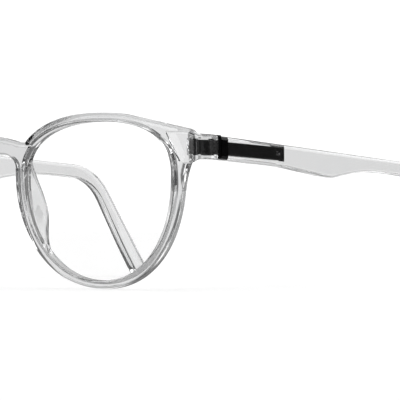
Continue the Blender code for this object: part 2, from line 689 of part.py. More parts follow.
def temple_path(s, drop):
    """A point of the temple's top edge, and the angle it falls at there."""
    first = math.atan(TEMPLE_SLOPE)
    bend_length = BEND_RADIUS * (drop - first)
    start_top = LUG_TOP - TEMPLE_TOP_STEP - PIN_Z
    straight = min(s, BEND_START)
    y = straight * math.cos(first)
    z = start_top - straight * math.sin(first)
    angle = first
    if s > BEND_START:
        in_bend = min(s - BEND_START, bend_length)
        angle = first + in_bend / BEND_RADIUS
        y += BEND_RADIUS * (math.sin(angle) - math.sin(first))
        z -= BEND_RADIUS * (math.cos(first) - math.cos(angle))
    if s > BEND_START + bend_length:
        rest = s - BEND_START - bend_length
        y += rest * math.cos(drop)
        z -= rest * math.sin(drop)
    width = smooth_keys(THICKNESSES, s)
    behind = max(0.0, s - TEMPLE_STRAIGHT) / (TEMPLE_LENGTH - TEMPLE_STRAIGHT)
    x = INNER + width / 2 - TIP_INWARD * behind**2
    return x, y + BACK_FACE, z, angle


def drop_angle():
    """The ear bend's angle that sets the temple's tip on the table."""
    low, high = 0.2, 1.3
    for _ in range(40):
        drop = (low + high) / 2
        lowest = min(p.z for back in (2.0, 1.0, 0.5, 0.0)
                     for p in temple_section(TEMPLE_LENGTH - back * TIP_ROUND, drop))
        if lowest > -PIN_Z - LAND:
            low = drop
        else:
            high = drop
    return high


def temple_stations():
    """Closer where the temple swells, bends or ends."""
    first = TEMPLE_START - BACK_FACE
    made = [first, 12, 22, 33, 40, 46, 51, 56, 60, 64, 68, 73, 79, 86, BEND_START]
    made += [BEND_START + 5.0 * k for k in range(1, 7)]
    made += [TEMPLE_LENGTH - gap for gap in (14.0, 7.5, TIP_ROUND, 2.0, 1.0, 0.35, 0.0)]
    return made


def build_temple(clear, pin, drop):
    sections = [temple_section(s, drop) for s in temple_stations()]
    bm = loft(sections)
    for v in bm.verts:
        v.co.z = max(v.co.z, -PIN_Z)
    temple = place("temple_left", bm, clear, pin)
    pocket = box((HOUSING_IN - CLEARANCE, BACK_FACE, -HOUSING_HEIGHT / 2 - CLEARANCE),
                 (HOUSING_OUT + CLEARANCE, BACK_FACE + HOUSING_LENGTH + POCKET_SPARE,
                  HOUSING_HEIGHT / 2 + CLEARANCE))
    bmesh.ops.subdivide_edges(pocket, edges=list(pocket.edges), cuts=1)
    fall(pocket, HOUSING_SLOPE)
    boolean(temple, place("temple_pocket", pocket), "DIFFERENCE")
    hole = cylinder(HOUSING_SCREW_RADIUS + RUNNING, 0.0, HOUSING_OUT + HOUSING_SCREW_BITE + CLEARANCE,
                    axis="X", centre=(SCREW_Y, 0.0), sides=16, shear=HOUSING_SLOPE)
    boolean(temple, place("temple_screw_hole", hole), "DIFFERENCE")
    return temple


def spring_housing(black, pin, drop):
    """Flange over the temple's end with a box behind it that holds the spring."""
    flange = place("spring_housing_left",
                   loft([temple_section(s, drop) for s in (0.0, HOUSING_FLANGE)]), black, pin)
    body = box((HOUSING_IN, BACK_FACE + OVERLAP, -HOUSING_HEIGHT / 2),
               (HOUSING_OUT, BACK_FACE + HOUSING_LENGTH, HOUSING_HEIGHT / 2), bevel=HOUSING_ROUND)
    fall(body, HOUSING_SLOPE)
    boolean(flange, place("housing_box", body), "UNION")
    relief = cylinder(RELIEF_RADIUS, -HINGE_HEIGHT, HINGE_HEIGHT, sides=32)
    boolean(flange, place("housing_relief", relief), "DIFFERENCE")
    bore = cylinder(BORE_RADIUS, -1.0, BORE_DEPTH, axis="Y", centre=(BORE_X, 0.0))
    for v in bore.verts:
        v.co.z -= HOUSING_SLOPE * (v.co.y - KNUCKLE_RADIUS - RUNNING)
    boolean(flange, place("housing_bore", bore), "DIFFERENCE")
    hole = cylinder(HOUSING_SCREW_RADIUS + RUNNING, HOUSING_IN - SIDE_THICKNESS, HOUSING_OUT + SIDE_THICKNESS,
                    axis="X", centre=(SCREW_Y, 0.0), sides=16, shear=HOUSING_SLOPE)
    boolean(flange, place("housing_screw_hole", hole), "DIFFERENCE")
    return flange


def spring_tongue(steel, pin):
    """Knuckle, sliding bar and rod in one piece."""
    tongue = place("spring_tongue_left", cylinder(KNUCKLE_RADIUS, -HALF_TONGUE, HALF_TONGUE), steel, pin)
    low_x = BORE_X - TONGUE_THICKNESS / 2
    bar = box((low_x, BACK_FACE, -HALF_TONGUE + FLUSH),
              (low_x + TONGUE_THICKNESS, KNUCKLE_RADIUS, HALF_TONGUE - FLUSH))
    back = [f for f in bar.faces if f.normal.y > 0.9]
    moved = bmesh.ops.extrude_face_region(bar, geom=back)
    bmesh.ops.delete(bar, geom=back, context="FACES_ONLY")
    for v in [e for e in moved["geom"] if isinstance(e, bmesh.types.BMVert)]:
        v.co.y = TONGUE_LENGTH
    fall(bar, HOUSING_SLOPE)
    boolean(tongue, place("tongue_bar", bar), "UNION")
    rod = cylinder(ROD_RADIUS, TONGUE_LENGTH / 2, ROD_END, axis="Y", centre=(BORE_X, 0.0), sides=16,
                   shear=HOUSING_SLOPE)
    boolean(tongue, place("tongue_rod", rod), "UNION")
    hole = cylinder(PIN_RADIUS + RUNNING, -HINGE_HEIGHT, HINGE_HEIGHT)
    boolean(tongue, place("tongue_hole", hole), "DIFFERENCE")
    return tongue


def ring_solid(outer, inner, low, high, sides=20, hexagonal=False):
    """A bush or nut with a bore, along the housing's bore."""
    bm = bmesh.new()
    turns = [2 * math.pi * i / sides for i in range(sides)]
    outward = [outer] * sides
    if hexagonal:
        outward = [outer * math.cos(math.pi / 6) / math.cos(t % (math.pi / 3) - math.pi / 6) for t in turns]
    inward = [inner] * sides
    rings = []
    for radii, at in ((outward, low), (outward, high), (inward, high), (inward, low)):
        rings.append([bm.verts.new((BORE_X + r * math.cos(t), at, r * math.sin(t)))
                      for r, t in zip(radii, turns)])
    for k in range(4):
        for i in range(sides):
            j = (i + 1) % sides
            bm.faces.new((rings[k][i], rings[k][j], rings[(k + 1) % 4][j], rings[(k + 1) % 4][i]))
    fall(bm, HOUSING_SLOPE)
    return bm


def coil_spring():
    """Round wire wound round the rod, with its ends closed."""
    points_per_turn = 8
    wire_sides = 5
    total = SPRING_TURNS * points_per_turn
    sections = []
    for k in range(total + 1):
        turn = 2 * math.pi * k / points_per_turn
        outward = Vector((math.cos(turn), 0.0, math.sin(turn)))
        along = SPRING_START + SPRING_LENGTH * k / total
        centre = Vector((BORE_X, along, 0.0)) + SPRING_MEAN_RADIUS * outward
        section = []
        for i in range(wire_sides):
            around = 2 * math.pi * i / wire_sides
            section.append(centre + SPRING_WIRE * (math.cos(around) * outward
                                                   + math.sin(around) * Vector((0.0, 1.0, 0.0))))
        sections.append(section)
    bm = loft(sections)
    fall(bm, HOUSING_SLOPE)
    return bm


def housing_screw(steel, pin):
    """A pan-head screw from the inner side, through the housing into the temple."""
    face = HOUSING_IN - RUNNING
    head, top = HOUSING_SCREW_HEAD_RADIUS, HOUSING_SCREW_HEAD_HEIGHT
    tip = HOUSING_OUT + HOUSING_SCREW_BITE
    profile = [(0.7 * head, face - top), (head, face - 0.7 * top), (head, face), (HOUSING_SCREW_RADIUS, face),
               (HOUSING_SCREW_RADIUS, tip - HOUSING_SCREW_POINT), (HOUSING_SCREW_RADIUS / 2, tip)]
    screw = place("housing_screw_left",
                  turned(profile, axis="X", centre=(SCREW_Y, 0.0), sides=16, shear=HOUSING_SLOPE), steel, pin)
    level = -HOUSING_SLOPE * (SCREW_Y - KNUCKLE_RADIUS - RUNNING)
    slot = box((face - 2 * top, SCREW_Y - 2 * head, level - PIN_SLOT / 2),
               (face - top / 2, SCREW_Y + 2 * head, level + PIN_SLOT / 2))
    boolean(screw, place("housing_screw_slot", slot), "DIFFERENCE")
    return screw


def mirrored(piece, parent):
    """The same piece for the wearer's right, as its own mesh."""
    graph = bpy.context.evaluated_depsgraph_get()
    mesh = bpy.data.meshes.new_from_object(piece.evaluated_get(graph))
    mesh.transform(Matrix.Scale(-1.0, 4, Vector((1.0, 0.0, 0.0))))
    mesh.flip_normals()
    made = bpy.data.objects.new(piece.name.replace("_left", "_right"), mesh)
    bpy.context.scene.collection.objects.link(made)
    made.parent = parent
    return made


def empty(name, place_mm, parent=None):
    made = bpy.data.objects.new(name, None)
    made.empty_display_size = 0.01
    bpy.context.scene.collection.objects.link(made)
    made.location = Vector(place_mm) * MM
    made.parent = parent
    return made


def build():
    for thing in list(bpy.data.objects):
        bpy.data.objects.remove(thing)
    clear = material("clear_plastic", CLEAR, 0.06, transmission=1.0)
    lens = material("lens", CLEAR, 0.0, transmission=1.0)
    black = material("black_hinge", BLACK, 0.35, metallic=0.3)
    steel = material("steel", STEEL, 0.3, metallic=1.0)

    root = empty("glasses", (0.0, 0.0, 0.0))
    front = build_front(clear, root)
    pins = {"left": empty("hinge_pin_left", (PIN_X, PIN_Y, PIN_Z), root),
            "right": empty("hinge_pin_right", (-PIN_X, PIN_Y, PIN_Z), root)}
    pin = pins["left"]
    drop = drop_angle()

    bush = ring_solid(BORE_RADIUS - RUNNING, ROD_RADIUS + RUNNING, BUSH_START, BUSH_START + BUSH_LENGTH)
    nut = ring_solid(NUT_RADIUS, ROD_RADIUS + RUNNING, NUT_START, NUT_START + NUT_LENGTH, sides=12,
                     hexagonal=True)
    left = [
        front_leaf(black, pin), hinge_screw(steel, pin), build_temple(clear, pin, drop),
        spring_housing(black, pin, drop), spring_tongue(steel, pin),
        place("lock_bush_left", bush, steel, pin), place("tongue_spring_left", coil_spring(), steel, pin),
        place("rod_nut_left", nut, steel, pin), housing_screw(steel, pin)]
    bpy.context.view_layer.update()
    for piece in left:
        mirrored(piece, pins["right"])
    lens_left = build_lens(lens, root)
    bpy.context.view_layer.update()
    mirrored(lens_left, root)

    hindmost = PIN_Y + max(p.y for s in temple_stations() for p in temple_section(s, drop))
    foremost = min(v.co.y for v in front.data.vertices) / MM
    root.location.y = -(hindmost + foremost) / 2 * MM


build()
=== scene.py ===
import math
from functools import lru_cache

import bmesh
import bpy
import numpy as np
from mathutils import Matrix, Vector
from mathutils.geometry import delaunay_2d_cdt


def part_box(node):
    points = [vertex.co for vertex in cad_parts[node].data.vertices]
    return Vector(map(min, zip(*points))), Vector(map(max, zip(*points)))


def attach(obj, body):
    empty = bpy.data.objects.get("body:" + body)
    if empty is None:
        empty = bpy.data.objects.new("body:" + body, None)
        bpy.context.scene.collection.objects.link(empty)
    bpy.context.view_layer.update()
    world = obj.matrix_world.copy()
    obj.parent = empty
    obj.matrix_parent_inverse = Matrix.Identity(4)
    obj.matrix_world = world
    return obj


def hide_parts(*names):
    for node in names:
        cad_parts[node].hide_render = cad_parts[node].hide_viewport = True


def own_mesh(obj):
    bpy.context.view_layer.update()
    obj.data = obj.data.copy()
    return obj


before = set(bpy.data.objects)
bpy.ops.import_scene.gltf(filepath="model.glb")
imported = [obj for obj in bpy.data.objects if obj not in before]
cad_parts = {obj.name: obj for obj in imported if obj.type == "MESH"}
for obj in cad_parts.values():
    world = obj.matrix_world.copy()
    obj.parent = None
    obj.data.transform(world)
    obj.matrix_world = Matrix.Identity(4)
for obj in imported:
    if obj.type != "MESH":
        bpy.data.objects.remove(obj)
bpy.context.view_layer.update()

# The looks of a clear, round spectacle frame. The clear pieces and the coil springs are made
# again with fine, smooth surfaces in the places of their CAD solids. Sizes are in millimetres
# until a mesh is placed, X points to the wearer's left, Y to the back and Z up.
MM = 0.001

# Eye openings and lenses
EYE_WIDTH = 46.6
EYE_HEIGHT = 43.2
NOSE_GAP = 20.5
WIDEST_ABOVE_MIDDLE = 7.4
ROUND_UPPER = 2.33             # superellipse powers of the upper and lower half
ROUND_LOWER = 2.12
CROWN_SHIFT = 1.26             # the top and bottom of the eye lie outward of its middle
LENS_THICKNESS = 1.2
LENS_BULGE = 0.8
LENS_GRIP = 0.7                # how far the lens reaches into the groove
LENS_APEX = 0.5                # width of the lens edge at the bottom of the groove
LENS_MIRROR = 0.03             # share of light that a coated lens reflects

# Front
RIM_WIDTH_ABOVE = 2.5
RIM_WIDTH_BESIDE = 2.9
RIM_WIDTH_BELOW = 2.4
RIM_FADE = 1.5                 # how quickly its width changes away from its top and bottom, a power
RIM_DEPTH = 4.2                # front to back at the endpieces' height and above
RIM_DEPTH_BELOW = 2.8          # and at the rims' lowest point
FRONT_ROUND = 0.9              # depth of the rounded front edge
FRONT_ROUND_FACE = 1.4         # and its width on the front face
BACK_ROUND = (1.4, 1.4)        # width and depth of the outer wall's rounded back edge
BACK_ROUND_BELOW = (0.5, 0.5)  # and at the rims' lowest point
NOSE_BACK_ROUND = (0.5, 0.5)   # beside the nose
TOP_BACK_ROUND = (1.6, 3.0)    # above the bridge
NOSE_SIDE = (12.0, 5.0)        # these two are full and start this far inside the eye's middle
OPENING_ROUND = 0.45
GROOVE_MIDDLE = 1.4            # behind the rim's front face
GROOVE_CORNER = 0.05           # the groove's cut edges
WRAP_RADIUS = 280.0            # the front curves back from side to side
UPRIGHT_RADIUS = 400.0         # and less from top to bottom
FRONT_TILT = 0.031             # its lower part lies back, run over rise
LAND = 0.06                    # flat worn into whatever stands on the table
BRIDGE_HEIGHT = 5.15
BRIDGE_DROP = 6.25             # bridge's top edge below the highest point of the rims
BRIDGE_LEVEL_ABOVE = 0.46      # shares of the way to the rim that the bridge's edges stay level
BRIDGE_LEVEL_BELOW = 0.34
BROW_FALL = 0.22               # slope of the brow line towards the endpiece
LUG_PROUD = 0.3                # endpiece stands proud of the rims' front face
LUG_REACH = 4.65               # endpiece's corner outside the rim
LUG_ROOT = 4.1                 # endpiece starts this far inside the rim's outer edge
LUG_FLARE = 0.5                # lug's outer face at the joint outside the corner
LUG_LENGTH = 9.45              # from the endpiece's corner to its end
LUG_HEIGHT = 6.65
LUG_BELOW_BROW = 6.2           # lug's top below the highest point of the rims
LUG_ROUND = 0.45
LUG_BACK_INSET = 0.7           # its back face in front of the rims'
CHAMFER = 1.2                  # along the endpiece's top front edge
PLATE_SHORT = 1.6              # the rims' plate ends this far inside the endpiece's corner
PLATE_FOOT = 1.2               # and its lower corner there is cut off by this much
CORNER_TURN = 2.4              # over this length the brow line turns down there
CORNER_FALL = 1.6              # and over this height

# Nose pads, moulded in one with the front
PAD_DEPTH = 3.8
PAD_SPLAY = 2.4
PAD_TOP_ANGLE = 154.0          # degrees round the eye, from the temporal side over the top
PAD_PEAK_ANGLE = 185.5
PAD_BOTTOM_ANGLE = 228.0
PAD_SHOULDER = 0.8             # how full the pad is above its peak, a power
PAD_SPLAY_POWER = 1.25
PAD_HALF_THICKNESS = 0.75
PAD_ROOT_INNER = 0.5           # the pad's root on the rim's back, outside the opening
PAD_ROOT_OUTER = 1.9
PAD_ROOT_DEPTH = 0.6           # and how far it reaches into the rim
PAD_LEAST = -0.15              # its ends lie under the rim's back

# Joint and hinge
SIDE_THICKNESS = 4.2           # lug and temple at the joint
PIN_INBOARD = 1.3              # pin's axis inboard of the lug's inner face
JOINT_GAP = 0.3
FRONT_FLANGE = 1.35
LEAF_LENGTH = 7.5
LEAF_THICKNESS = 1.35
LEAF_LIFT = 0.2
HINGE_HEIGHT = 4.0
KNUCKLE_RADIUS = 1.5
HOUSING_FLANGE = 2.75
HOUSING_LENGTH = 30.2
HOUSING_THICKNESS = 3.3
HOUSING_HEIGHT = 3.7
HOUSING_SUNK = 1.8             # its outer face under the temple's inner face
HOUSING_SLOPE = 0.0437         # housing falls towards the back, rise over run
POCKET_SPARE = 1.2             # air between the housing's end and the temple
HOUSING_SCREW_INSET = 1.6
HOUSING_SCREW_RADIUS = 0.5
HOUSING_SCREW_BITE = 1.1
HOUSING_OUTER_WALL = 0.45
BORE_RADIUS = 1.2
TONGUE_LENGTH = 6.2
BUSH_LENGTH = 1.8
SPRING_TURNS = 9
SPRING_LENGTH = 8.4
SPRING_WIRE = 0.16
SPRING_MEAN_RADIUS = 0.78

# Temple
TEMPLE_LENGTH = 145.0          # from the joint along the top edge to the tip
TEMPLE_SLOPE = 0.064
TEMPLE_TOP_STEP = 0.25         # temple's top edge below the lug's at the joint
TEMPLE_STRAIGHT = 36.0         # its front stretch keeps one inner face
BEND_START = 95.0
BEND_RADIUS = 22.0
DROP_LIMITS = (0.2, 1.3)       # the ear bend's angle lies between these, in radians
TIP_INWARD = 3.0
TIP_ROUND = 3.2                # length of the tip's round end
TIP_LEAST = 0.2                # the tip's last section, as a share of the full height
TIP_FLAT = 0.45                # the share of the width that the tip's end never loses
TEMPLE_ROUND = 1.0             # the temple's edges
TEMPLE_ROUND_MOST = 0.7        # and their largest share of half its thickness
UPRIGHT_UNTIL = 12.0           # its sections stand upright up to here
SQUARE_FROM = 52.0             # and square to its top edge from here
# Heights and thicknesses at distances behind the joint
HEIGHTS = [(0, 6.4), (10, 6.4), (30, 6.25), (44, 6.95), (56, 7.45), (63, 6.25), (70, 5.05),
           (78, 4.4), (90, 4.2), (112, 4.6), (132, 5.6), (TEMPLE_LENGTH, 5.8)]
THICKNESSES = [(0, SIDE_THICKNESS), (45, 3.45), (90, 2.7), (125, 2.8), (TEMPLE_LENGTH, 3.0)]
CLEARANCE = 0.25               # between pieces that seat on each other
RUNNING = 0.1                  # round pieces in their holes

# Worked out from the sizes above
EYE_X = (NOSE_GAP + EYE_WIDTH) / 2
EYE_Z = EYE_HEIGHT / 2 + RIM_WIDTH_BELOW - LAND
RIM_TOP = EYE_Z + EYE_HEIGHT / 2 + RIM_WIDTH_ABOVE
RIM_OUTSIDE = EYE_X + EYE_WIDTH / 2 + RIM_WIDTH_BESIDE
CORNER_X = RIM_OUTSIDE + LUG_REACH
LUG_TOP = RIM_TOP - LUG_BELOW_BROW
LUG_BOTTOM = LUG_TOP - LUG_HEIGHT
LUG_MIDDLE = (LUG_TOP + LUG_BOTTOM) / 2
JOINT_X = CORNER_X + LUG_FLARE
INNER_X = JOINT_X - SIDE_THICKNESS
PIN_X = INNER_X - PIN_INBOARD
PIN_Z = LUG_MIDDLE - LEAF_LIFT

# Fineness of the made surfaces
EYE_SAMPLES = 2880
NORMAL_SPAN = 4                # samples to each side that give the outline's direction
OPENING_SIDES = 360
OPENING_STEPS = 4              # round each opening's edges
ARC_STEP = 0.75                # degrees round the rim's outer edge
ROUND_STEPS = 6                # round the outer edges
CORNER_MOST = 0.45             # the share of a section's side that a rounded corner may take
FILL_SPACING = 0.7             # between the points of the front's and back's nets
FILL_EDGE_GAP = 0.6            # their least distance from an edge, as a share of that
FILL_EPSILON = 1e-6            # points closer than this are one
SHARP_DEGREES = 30.0           # faces that meet at a larger angle keep a sharp edge
LUG_STEPS = 6                  # between two of its sections
LUG_CORNER_STEPS = 5
PAD_STEPS = 60
PAD_ROW_STEPS = 4
LENS_RINGS = 12
TEMPLE_STEPS = 170
TEMPLE_CORNER_STEPS = 6
TIP_STEPS = 12
DROP_HALVINGS = 30             # of the limits between which the ear bend's angle is found
HOLE_SIDES = 32
TURN_STEPS = 24                # round each of the spring's turns
WIRE_SIDES = 10


def wrap(x, z):
    """How far the front's surface lies back at a place on the wearer's face."""
    up = z - EYE_Z
    return x * x / (2 * WRAP_RADIUS) + up * up / (2 * UPRIGHT_RADIUS) - FRONT_TILT * up


def share_between(value, none, full):
    """How far a value lies on its way from none to full, as a share from 0 to 1."""
    return min(1.0, max(0.0, (value - none) / (full - none)))


def towards_lug(z, below, above):
    """A size that grows from the rims' lowest point to the endpieces' height."""
    return below + (above - below) * share_between(z, 0.0, LUG_BOTTOM)


def rim_depth(z):
    return towards_lug(z, RIM_DEPTH_BELOW, RIM_DEPTH)


CORNER_Y = wrap(CORNER_X, LUG_MIDDLE) - LUG_PROUD
PIN_Y = CORNER_Y + LUG_LENGTH + FRONT_FLANGE + CLEARANCE + JOINT_GAP / 2


def object_from(name, bm):
    mesh = bpy.data.meshes.new(name)
    bm.to_mesh(mesh)
    bm.free()
    made = bpy.data.objects.new(name, mesh)
    bpy.context.scene.collection.objects.link(made)
    return made


def smooth(mesh, sharp_degrees):
    mesh.shade_smooth()
    mesh.set_sharp_from_angle(angle=math.radians(sharp_degrees))


def place(name, bm, sharp_degrees=SHARP_DEGREES):
    """Turns a bmesh in millimetres into an object in metres."""
    bmesh.ops.recalc_face_normals(bm, faces=bm.faces)
    made = object_from(name, bm)
    made.data.transform(Matrix.Translation((0.0, SHIFT_Y * MM, 0.0)) @ Matrix.Scale(MM, 4))
    smooth(made.data, sharp_degrees)
    return made


def combined(piece, helpers):
    """Applies (helper, operation) Booleans to a piece and removes the helpers."""
    for helper, operation in helpers:
        change = piece.modifiers.new(helper.name, "BOOLEAN")
        change.operation = operation
        change.object = helper
        change.solver = "EXACT"
    bpy.context.view_layer.update()
    graph = bpy.context.evaluated_depsgraph_get()
    mesh = bpy.data.meshes.new_from_object(piece.evaluated_get(graph))
    piece.modifiers.clear()
    piece.data = mesh
    smooth(mesh, SHARP_DEGREES)
    for helper, _ in helpers:
        bpy.data.objects.remove(helper)
    # Large faces set the shading next to rounded edges
    piece.modifiers.new("steady_shading", "WEIGHTED_NORMAL").keep_sharp = True
    return piece


def smooth_keys(keys, s):
    """Reads a rounded curve through (place, value) keys. Values are numbers or arrays."""
    places = [k[0] for k in keys]
    values = [k[1] for k in keys]
    if s <= places[0]:
        return values[0]
    if s >= places[-1]:
        return values[-1]
    i = max(j for j in range(len(places) - 1) if places[j] <= s)
    span = places[i + 1] - places[i]
    slopes = []
    for j in (i, i + 1):
        low, high = max(j - 1, 0), min(j + 1, len(keys) - 1)
        slopes.append((values[high] - values[low]) / (places[high] - places[low]))
    t = (s - places[i]) / span
    return (values[i] * (2 * t**3 - 3 * t**2 + 1) + values[i + 1] * (3 * t**2 - 2 * t**3)
            + span * (slopes[0] * (t**3 - 2 * t**2 + t) + slopes[1] * (t**3 - t**2)))


def refined(rows, steps):
    """Each row of numbers and those on rounded curves between them, in steps to the next."""
    keys = [(i, np.array(row)) for i, row in enumerate(rows)]
    return [smooth_keys(keys, k / steps) for k in range(steps * (len(rows) - 1) + 1)]


def bezier(start, start_handle, end_handle, end, count):
    """Points along a cubic curve, without its last one."""
    made = []
    for i in range(count):
        t = i / count
        u = 1 - t
        made.append(tuple(u**3 * a + 3 * u * u * t * b + 3 * u * t * t * c + t**3 * d
                          for a, b, c, d in zip(start, start_handle, end_handle, end)))
    return made


def wall(bm, loops):
    """Quads between neighbouring loops with the same number of points. Returns the end loops."""
    rings = [[bm.verts.new(point) for point in loop] for loop in loops]
    sides = len(rings[0])
    for low, high in zip(rings, rings[1:]):
        for i in range(sides):
            j = (i + 1) % sides
            bm.faces.new((low[i], low[j], high[j], high[i]))
    return rings[0], rings[-1]


def loft(sections):
    """A solid through a row of sections with the same number of points."""
    bm = bmesh.new()
    for end in wall(bm, sections):
        bm.faces.new(end)
    return bm


def box(low, high):
    bm = bmesh.new()
    bmesh.ops.create_cube(bm, size=1.0)
    for v in bm.verts:
        for i in range(3):
            v.co[i] = low[i] if v.co[i] < 0 else high[i]
    return bm


def fall(bm):
    """Lowers what lies behind the knuckles along the housing's slope."""
    for v in bm.verts:
        v.co.z -= HOUSING_SLOPE * max(0.0, v.co.y - KNUCKLE_RADIUS - RUNNING)


def rounded(corners, radius, steps):
    """A polygon's outline in space with each corner turned into a smooth curve."""
    made = []
    count = len(corners)
    for i, corner in enumerate(corners):
        here = Vector(corner)
        to_last = Vector(corners[i - 1]) - here
        to_next = Vector(corners[(i + 1) % count]) - here
        r = min(radius, CORNER_MOST * to_last.length, CORNER_MOST * to_next.length)
        first = here + r * to_last.normalized()
        last = here + r * to_next.normalized()
        for k in range(steps + 1):
            t = k / steps
            made.append((1 - t) ** 2 * first + 2 * t * (1 - t) * here + t * t * last)
    return made


# The eye's outline

@lru_cache(maxsize=None)
def eye_ring(offset, rim_share):
    """The outline outside the opening, as angles round the eye, X and Z. A rim share of 1 adds
    the rim's width."""
    turn = np.linspace(0.0, 2 * math.pi, EYE_SAMPLES, endpoint=False)
    cosine, sine = np.cos(turn), np.sin(turn)
    upper = sine >= 0
    height = np.where(upper, EYE_HEIGHT / 2 - WIDEST_ABOVE_MIDDLE, EYE_HEIGHT / 2 + WIDEST_ABOVE_MIDDLE)
    power = np.where(upper, ROUND_UPPER, ROUND_LOWER)
    x = EYE_WIDTH / 2 * np.sign(cosine) * np.abs(cosine) ** (2 / power) + CROWN_SHIFT * sine**2
    z = WIDEST_ABOVE_MIDDLE + height * np.sign(sine) * np.abs(sine) ** (2 / power)
    along_x = np.roll(x, -NORMAL_SPAN) - np.roll(x, NORMAL_SPAN)
    along_z = np.roll(z, -NORMAL_SPAN) - np.roll(z, NORMAL_SPAN)
    size = np.hypot(along_x, along_z)
    normal_x, normal_z = along_z / size, -along_x / size
    above = np.clip(normal_z, 0, 1) ** RIM_FADE
    below = np.clip(-normal_z, 0, 1) ** RIM_FADE
    width = (RIM_WIDTH_BESIDE + (RIM_WIDTH_ABOVE - RIM_WIDTH_BESIDE) * above
             + (RIM_WIDTH_BELOW - RIM_WIDTH_BESIDE) * below)
    reach = offset + rim_share * width
    x = x + reach * normal_x
    z = z + reach * normal_z
    return np.degrees(np.arctan2(z, x)), x + EYE_X, z + EYE_Z


def eye_point(degrees, offset, rim_share=0.0):
    """The point at an angle round the eye, on the outline at an offset from the opening."""
    angle, x, z = eye_ring(offset, rim_share)
    return (float(np.interp(degrees, angle, x, period=360)),
            float(np.interp(degrees, angle, z, period=360)))


def rim_point(degrees):
    """The point at an angle round the eye, on the rim's outer edge."""
    return eye_point(degrees, 0.0, 1.0)


def eye_loop(offset):
    return [eye_point(360 * i / OPENING_SIDES, offset) for i in range(OPENING_SIDES)]


# Front frame

BRIDGE_TOP = RIM_TOP - BRIDGE_DROP
BRIDGE_BOTTOM = BRIDGE_TOP - BRIDGE_HEIGHT
BRIDGE_ANGLE = 143.5           # where the bridge's top edge meets the rim, round the eye
BROW_ANGLE = 69.5              # where the brow line leaves it
LUG_ANGLE = 3.0                # where the endpiece's lower edge meets it
LUG_BLEND = 9.0                # its curve is drawn towards the rim this far above
NOSE_ANGLE = 164.0 - 360       # where the bridge's lower edge meets it, from below
BRIDGE_STEPS = 20              # along each stretch of the outline
BROW_STEPS = 12
CORNER_STEPS = 5
FOOT_STEPS = 9
UNDERSIDE_STEPS = 16
MIDDLE_STEPS = 4


def arc_of_rim(start, end):
    count = max(2, round(abs(end - start) / ARC_STEP))
    return [rim_point(start + (end - start) * i / count) for i in range(count + 1)]


def brow_height(x):
    """Height of the straight brow line that runs from the rim to the endpiece."""
    start_x, start_z = rim_point(BROW_ANGLE)
    return start_z - BROW_FALL * (x - start_x)


def half_outline():
    """The front's outer edge from the bridge's top round to its underside, in X and Z.
    The handles of its curves are set off from the points that they join."""
    meet_x, meet_z = rim_point(BRIDGE_ANGLE)
    nose_x, nose_z = rim_point(NOSE_ANGLE)
    end_x = CORNER_X - PLATE_SHORT
    end_z = brow_height(end_x)
    points = bezier((0.0, BRIDGE_TOP), (meet_x * BRIDGE_LEVEL_ABOVE, BRIDGE_TOP),
                    (meet_x - 0.7, meet_z - 1.7), (meet_x, meet_z), BRIDGE_STEPS)
    points += arc_of_rim(BRIDGE_ANGLE, BROW_ANGLE)
    brow_start = rim_point(BROW_ANGLE)[0]
    turn_x = end_x - CORNER_TURN
    for k in range(1, BROW_STEPS):
        x = brow_start + (turn_x - brow_start) * k / BROW_STEPS
        points.append((x, brow_height(x)))
    points += bezier((turn_x, brow_height(turn_x)), (turn_x + 1.0, brow_height(turn_x + 1.0)),
                     (end_x, end_z - 0.1), (end_x, end_z - CORNER_FALL), CORNER_STEPS)
    points += [(end_x, end_z - CORNER_FALL), (end_x, LUG_BOTTOM + PLATE_FOOT)]
    low_x, low_z = rim_point(LUG_ANGLE)
    rim_x, rim_z = rim_point(LUG_ANGLE + LUG_BLEND)
    points += bezier((end_x - PLATE_FOOT, LUG_BOTTOM - 0.3), (rim_x + 0.4, rim_z + 2.0),
                     (low_x + 0.25, low_z + 2.6), (low_x, low_z), FOOT_STEPS)
    points += arc_of_rim(LUG_ANGLE, NOSE_ANGLE)
    points += bezier((nose_x, nose_z), (nose_x + 0.15, nose_z + 4.0), (nose_x - 1.75, BRIDGE_BOTTOM),
                     (nose_x * BRIDGE_LEVEL_BELOW, BRIDGE_BOTTOM), UNDERSIDE_STEPS)[1:]
    points += [(nose_x * BRIDGE_LEVEL_BELOW * (1 - k / MIDDLE_STEPS), BRIDGE_BOTTOM)
               for k in range(MIDDLE_STEPS)]
    return points


def drawn_in(outline, distances):
    """The outline with each point moved inward by its distance, along its own normal."""
    made = []
    count = len(outline)
    for i, distance in enumerate(distances):
        before, after = outline[i - 1], outline[(i + 1) % count]
        dx, dz = after[0] - before[0], after[1] - before[1]
        size = math.hypot(dx, dz)
        made.append((outline[i][0] + distance * dz / size, outline[i][1] - distance * dx / size))
    return made


def quarter(radius, steps, rising):
    """(inward, along) offsets round a quarter circle, towards or away from the edge."""
    made = []
    for k in range(steps + 1):
        turn = math.pi / 2 * k / steps
        made.append((radius * (1 - math.sin(turn)), radius * (1 - math.cos(turn))))
    return made if rising else made[::-1]


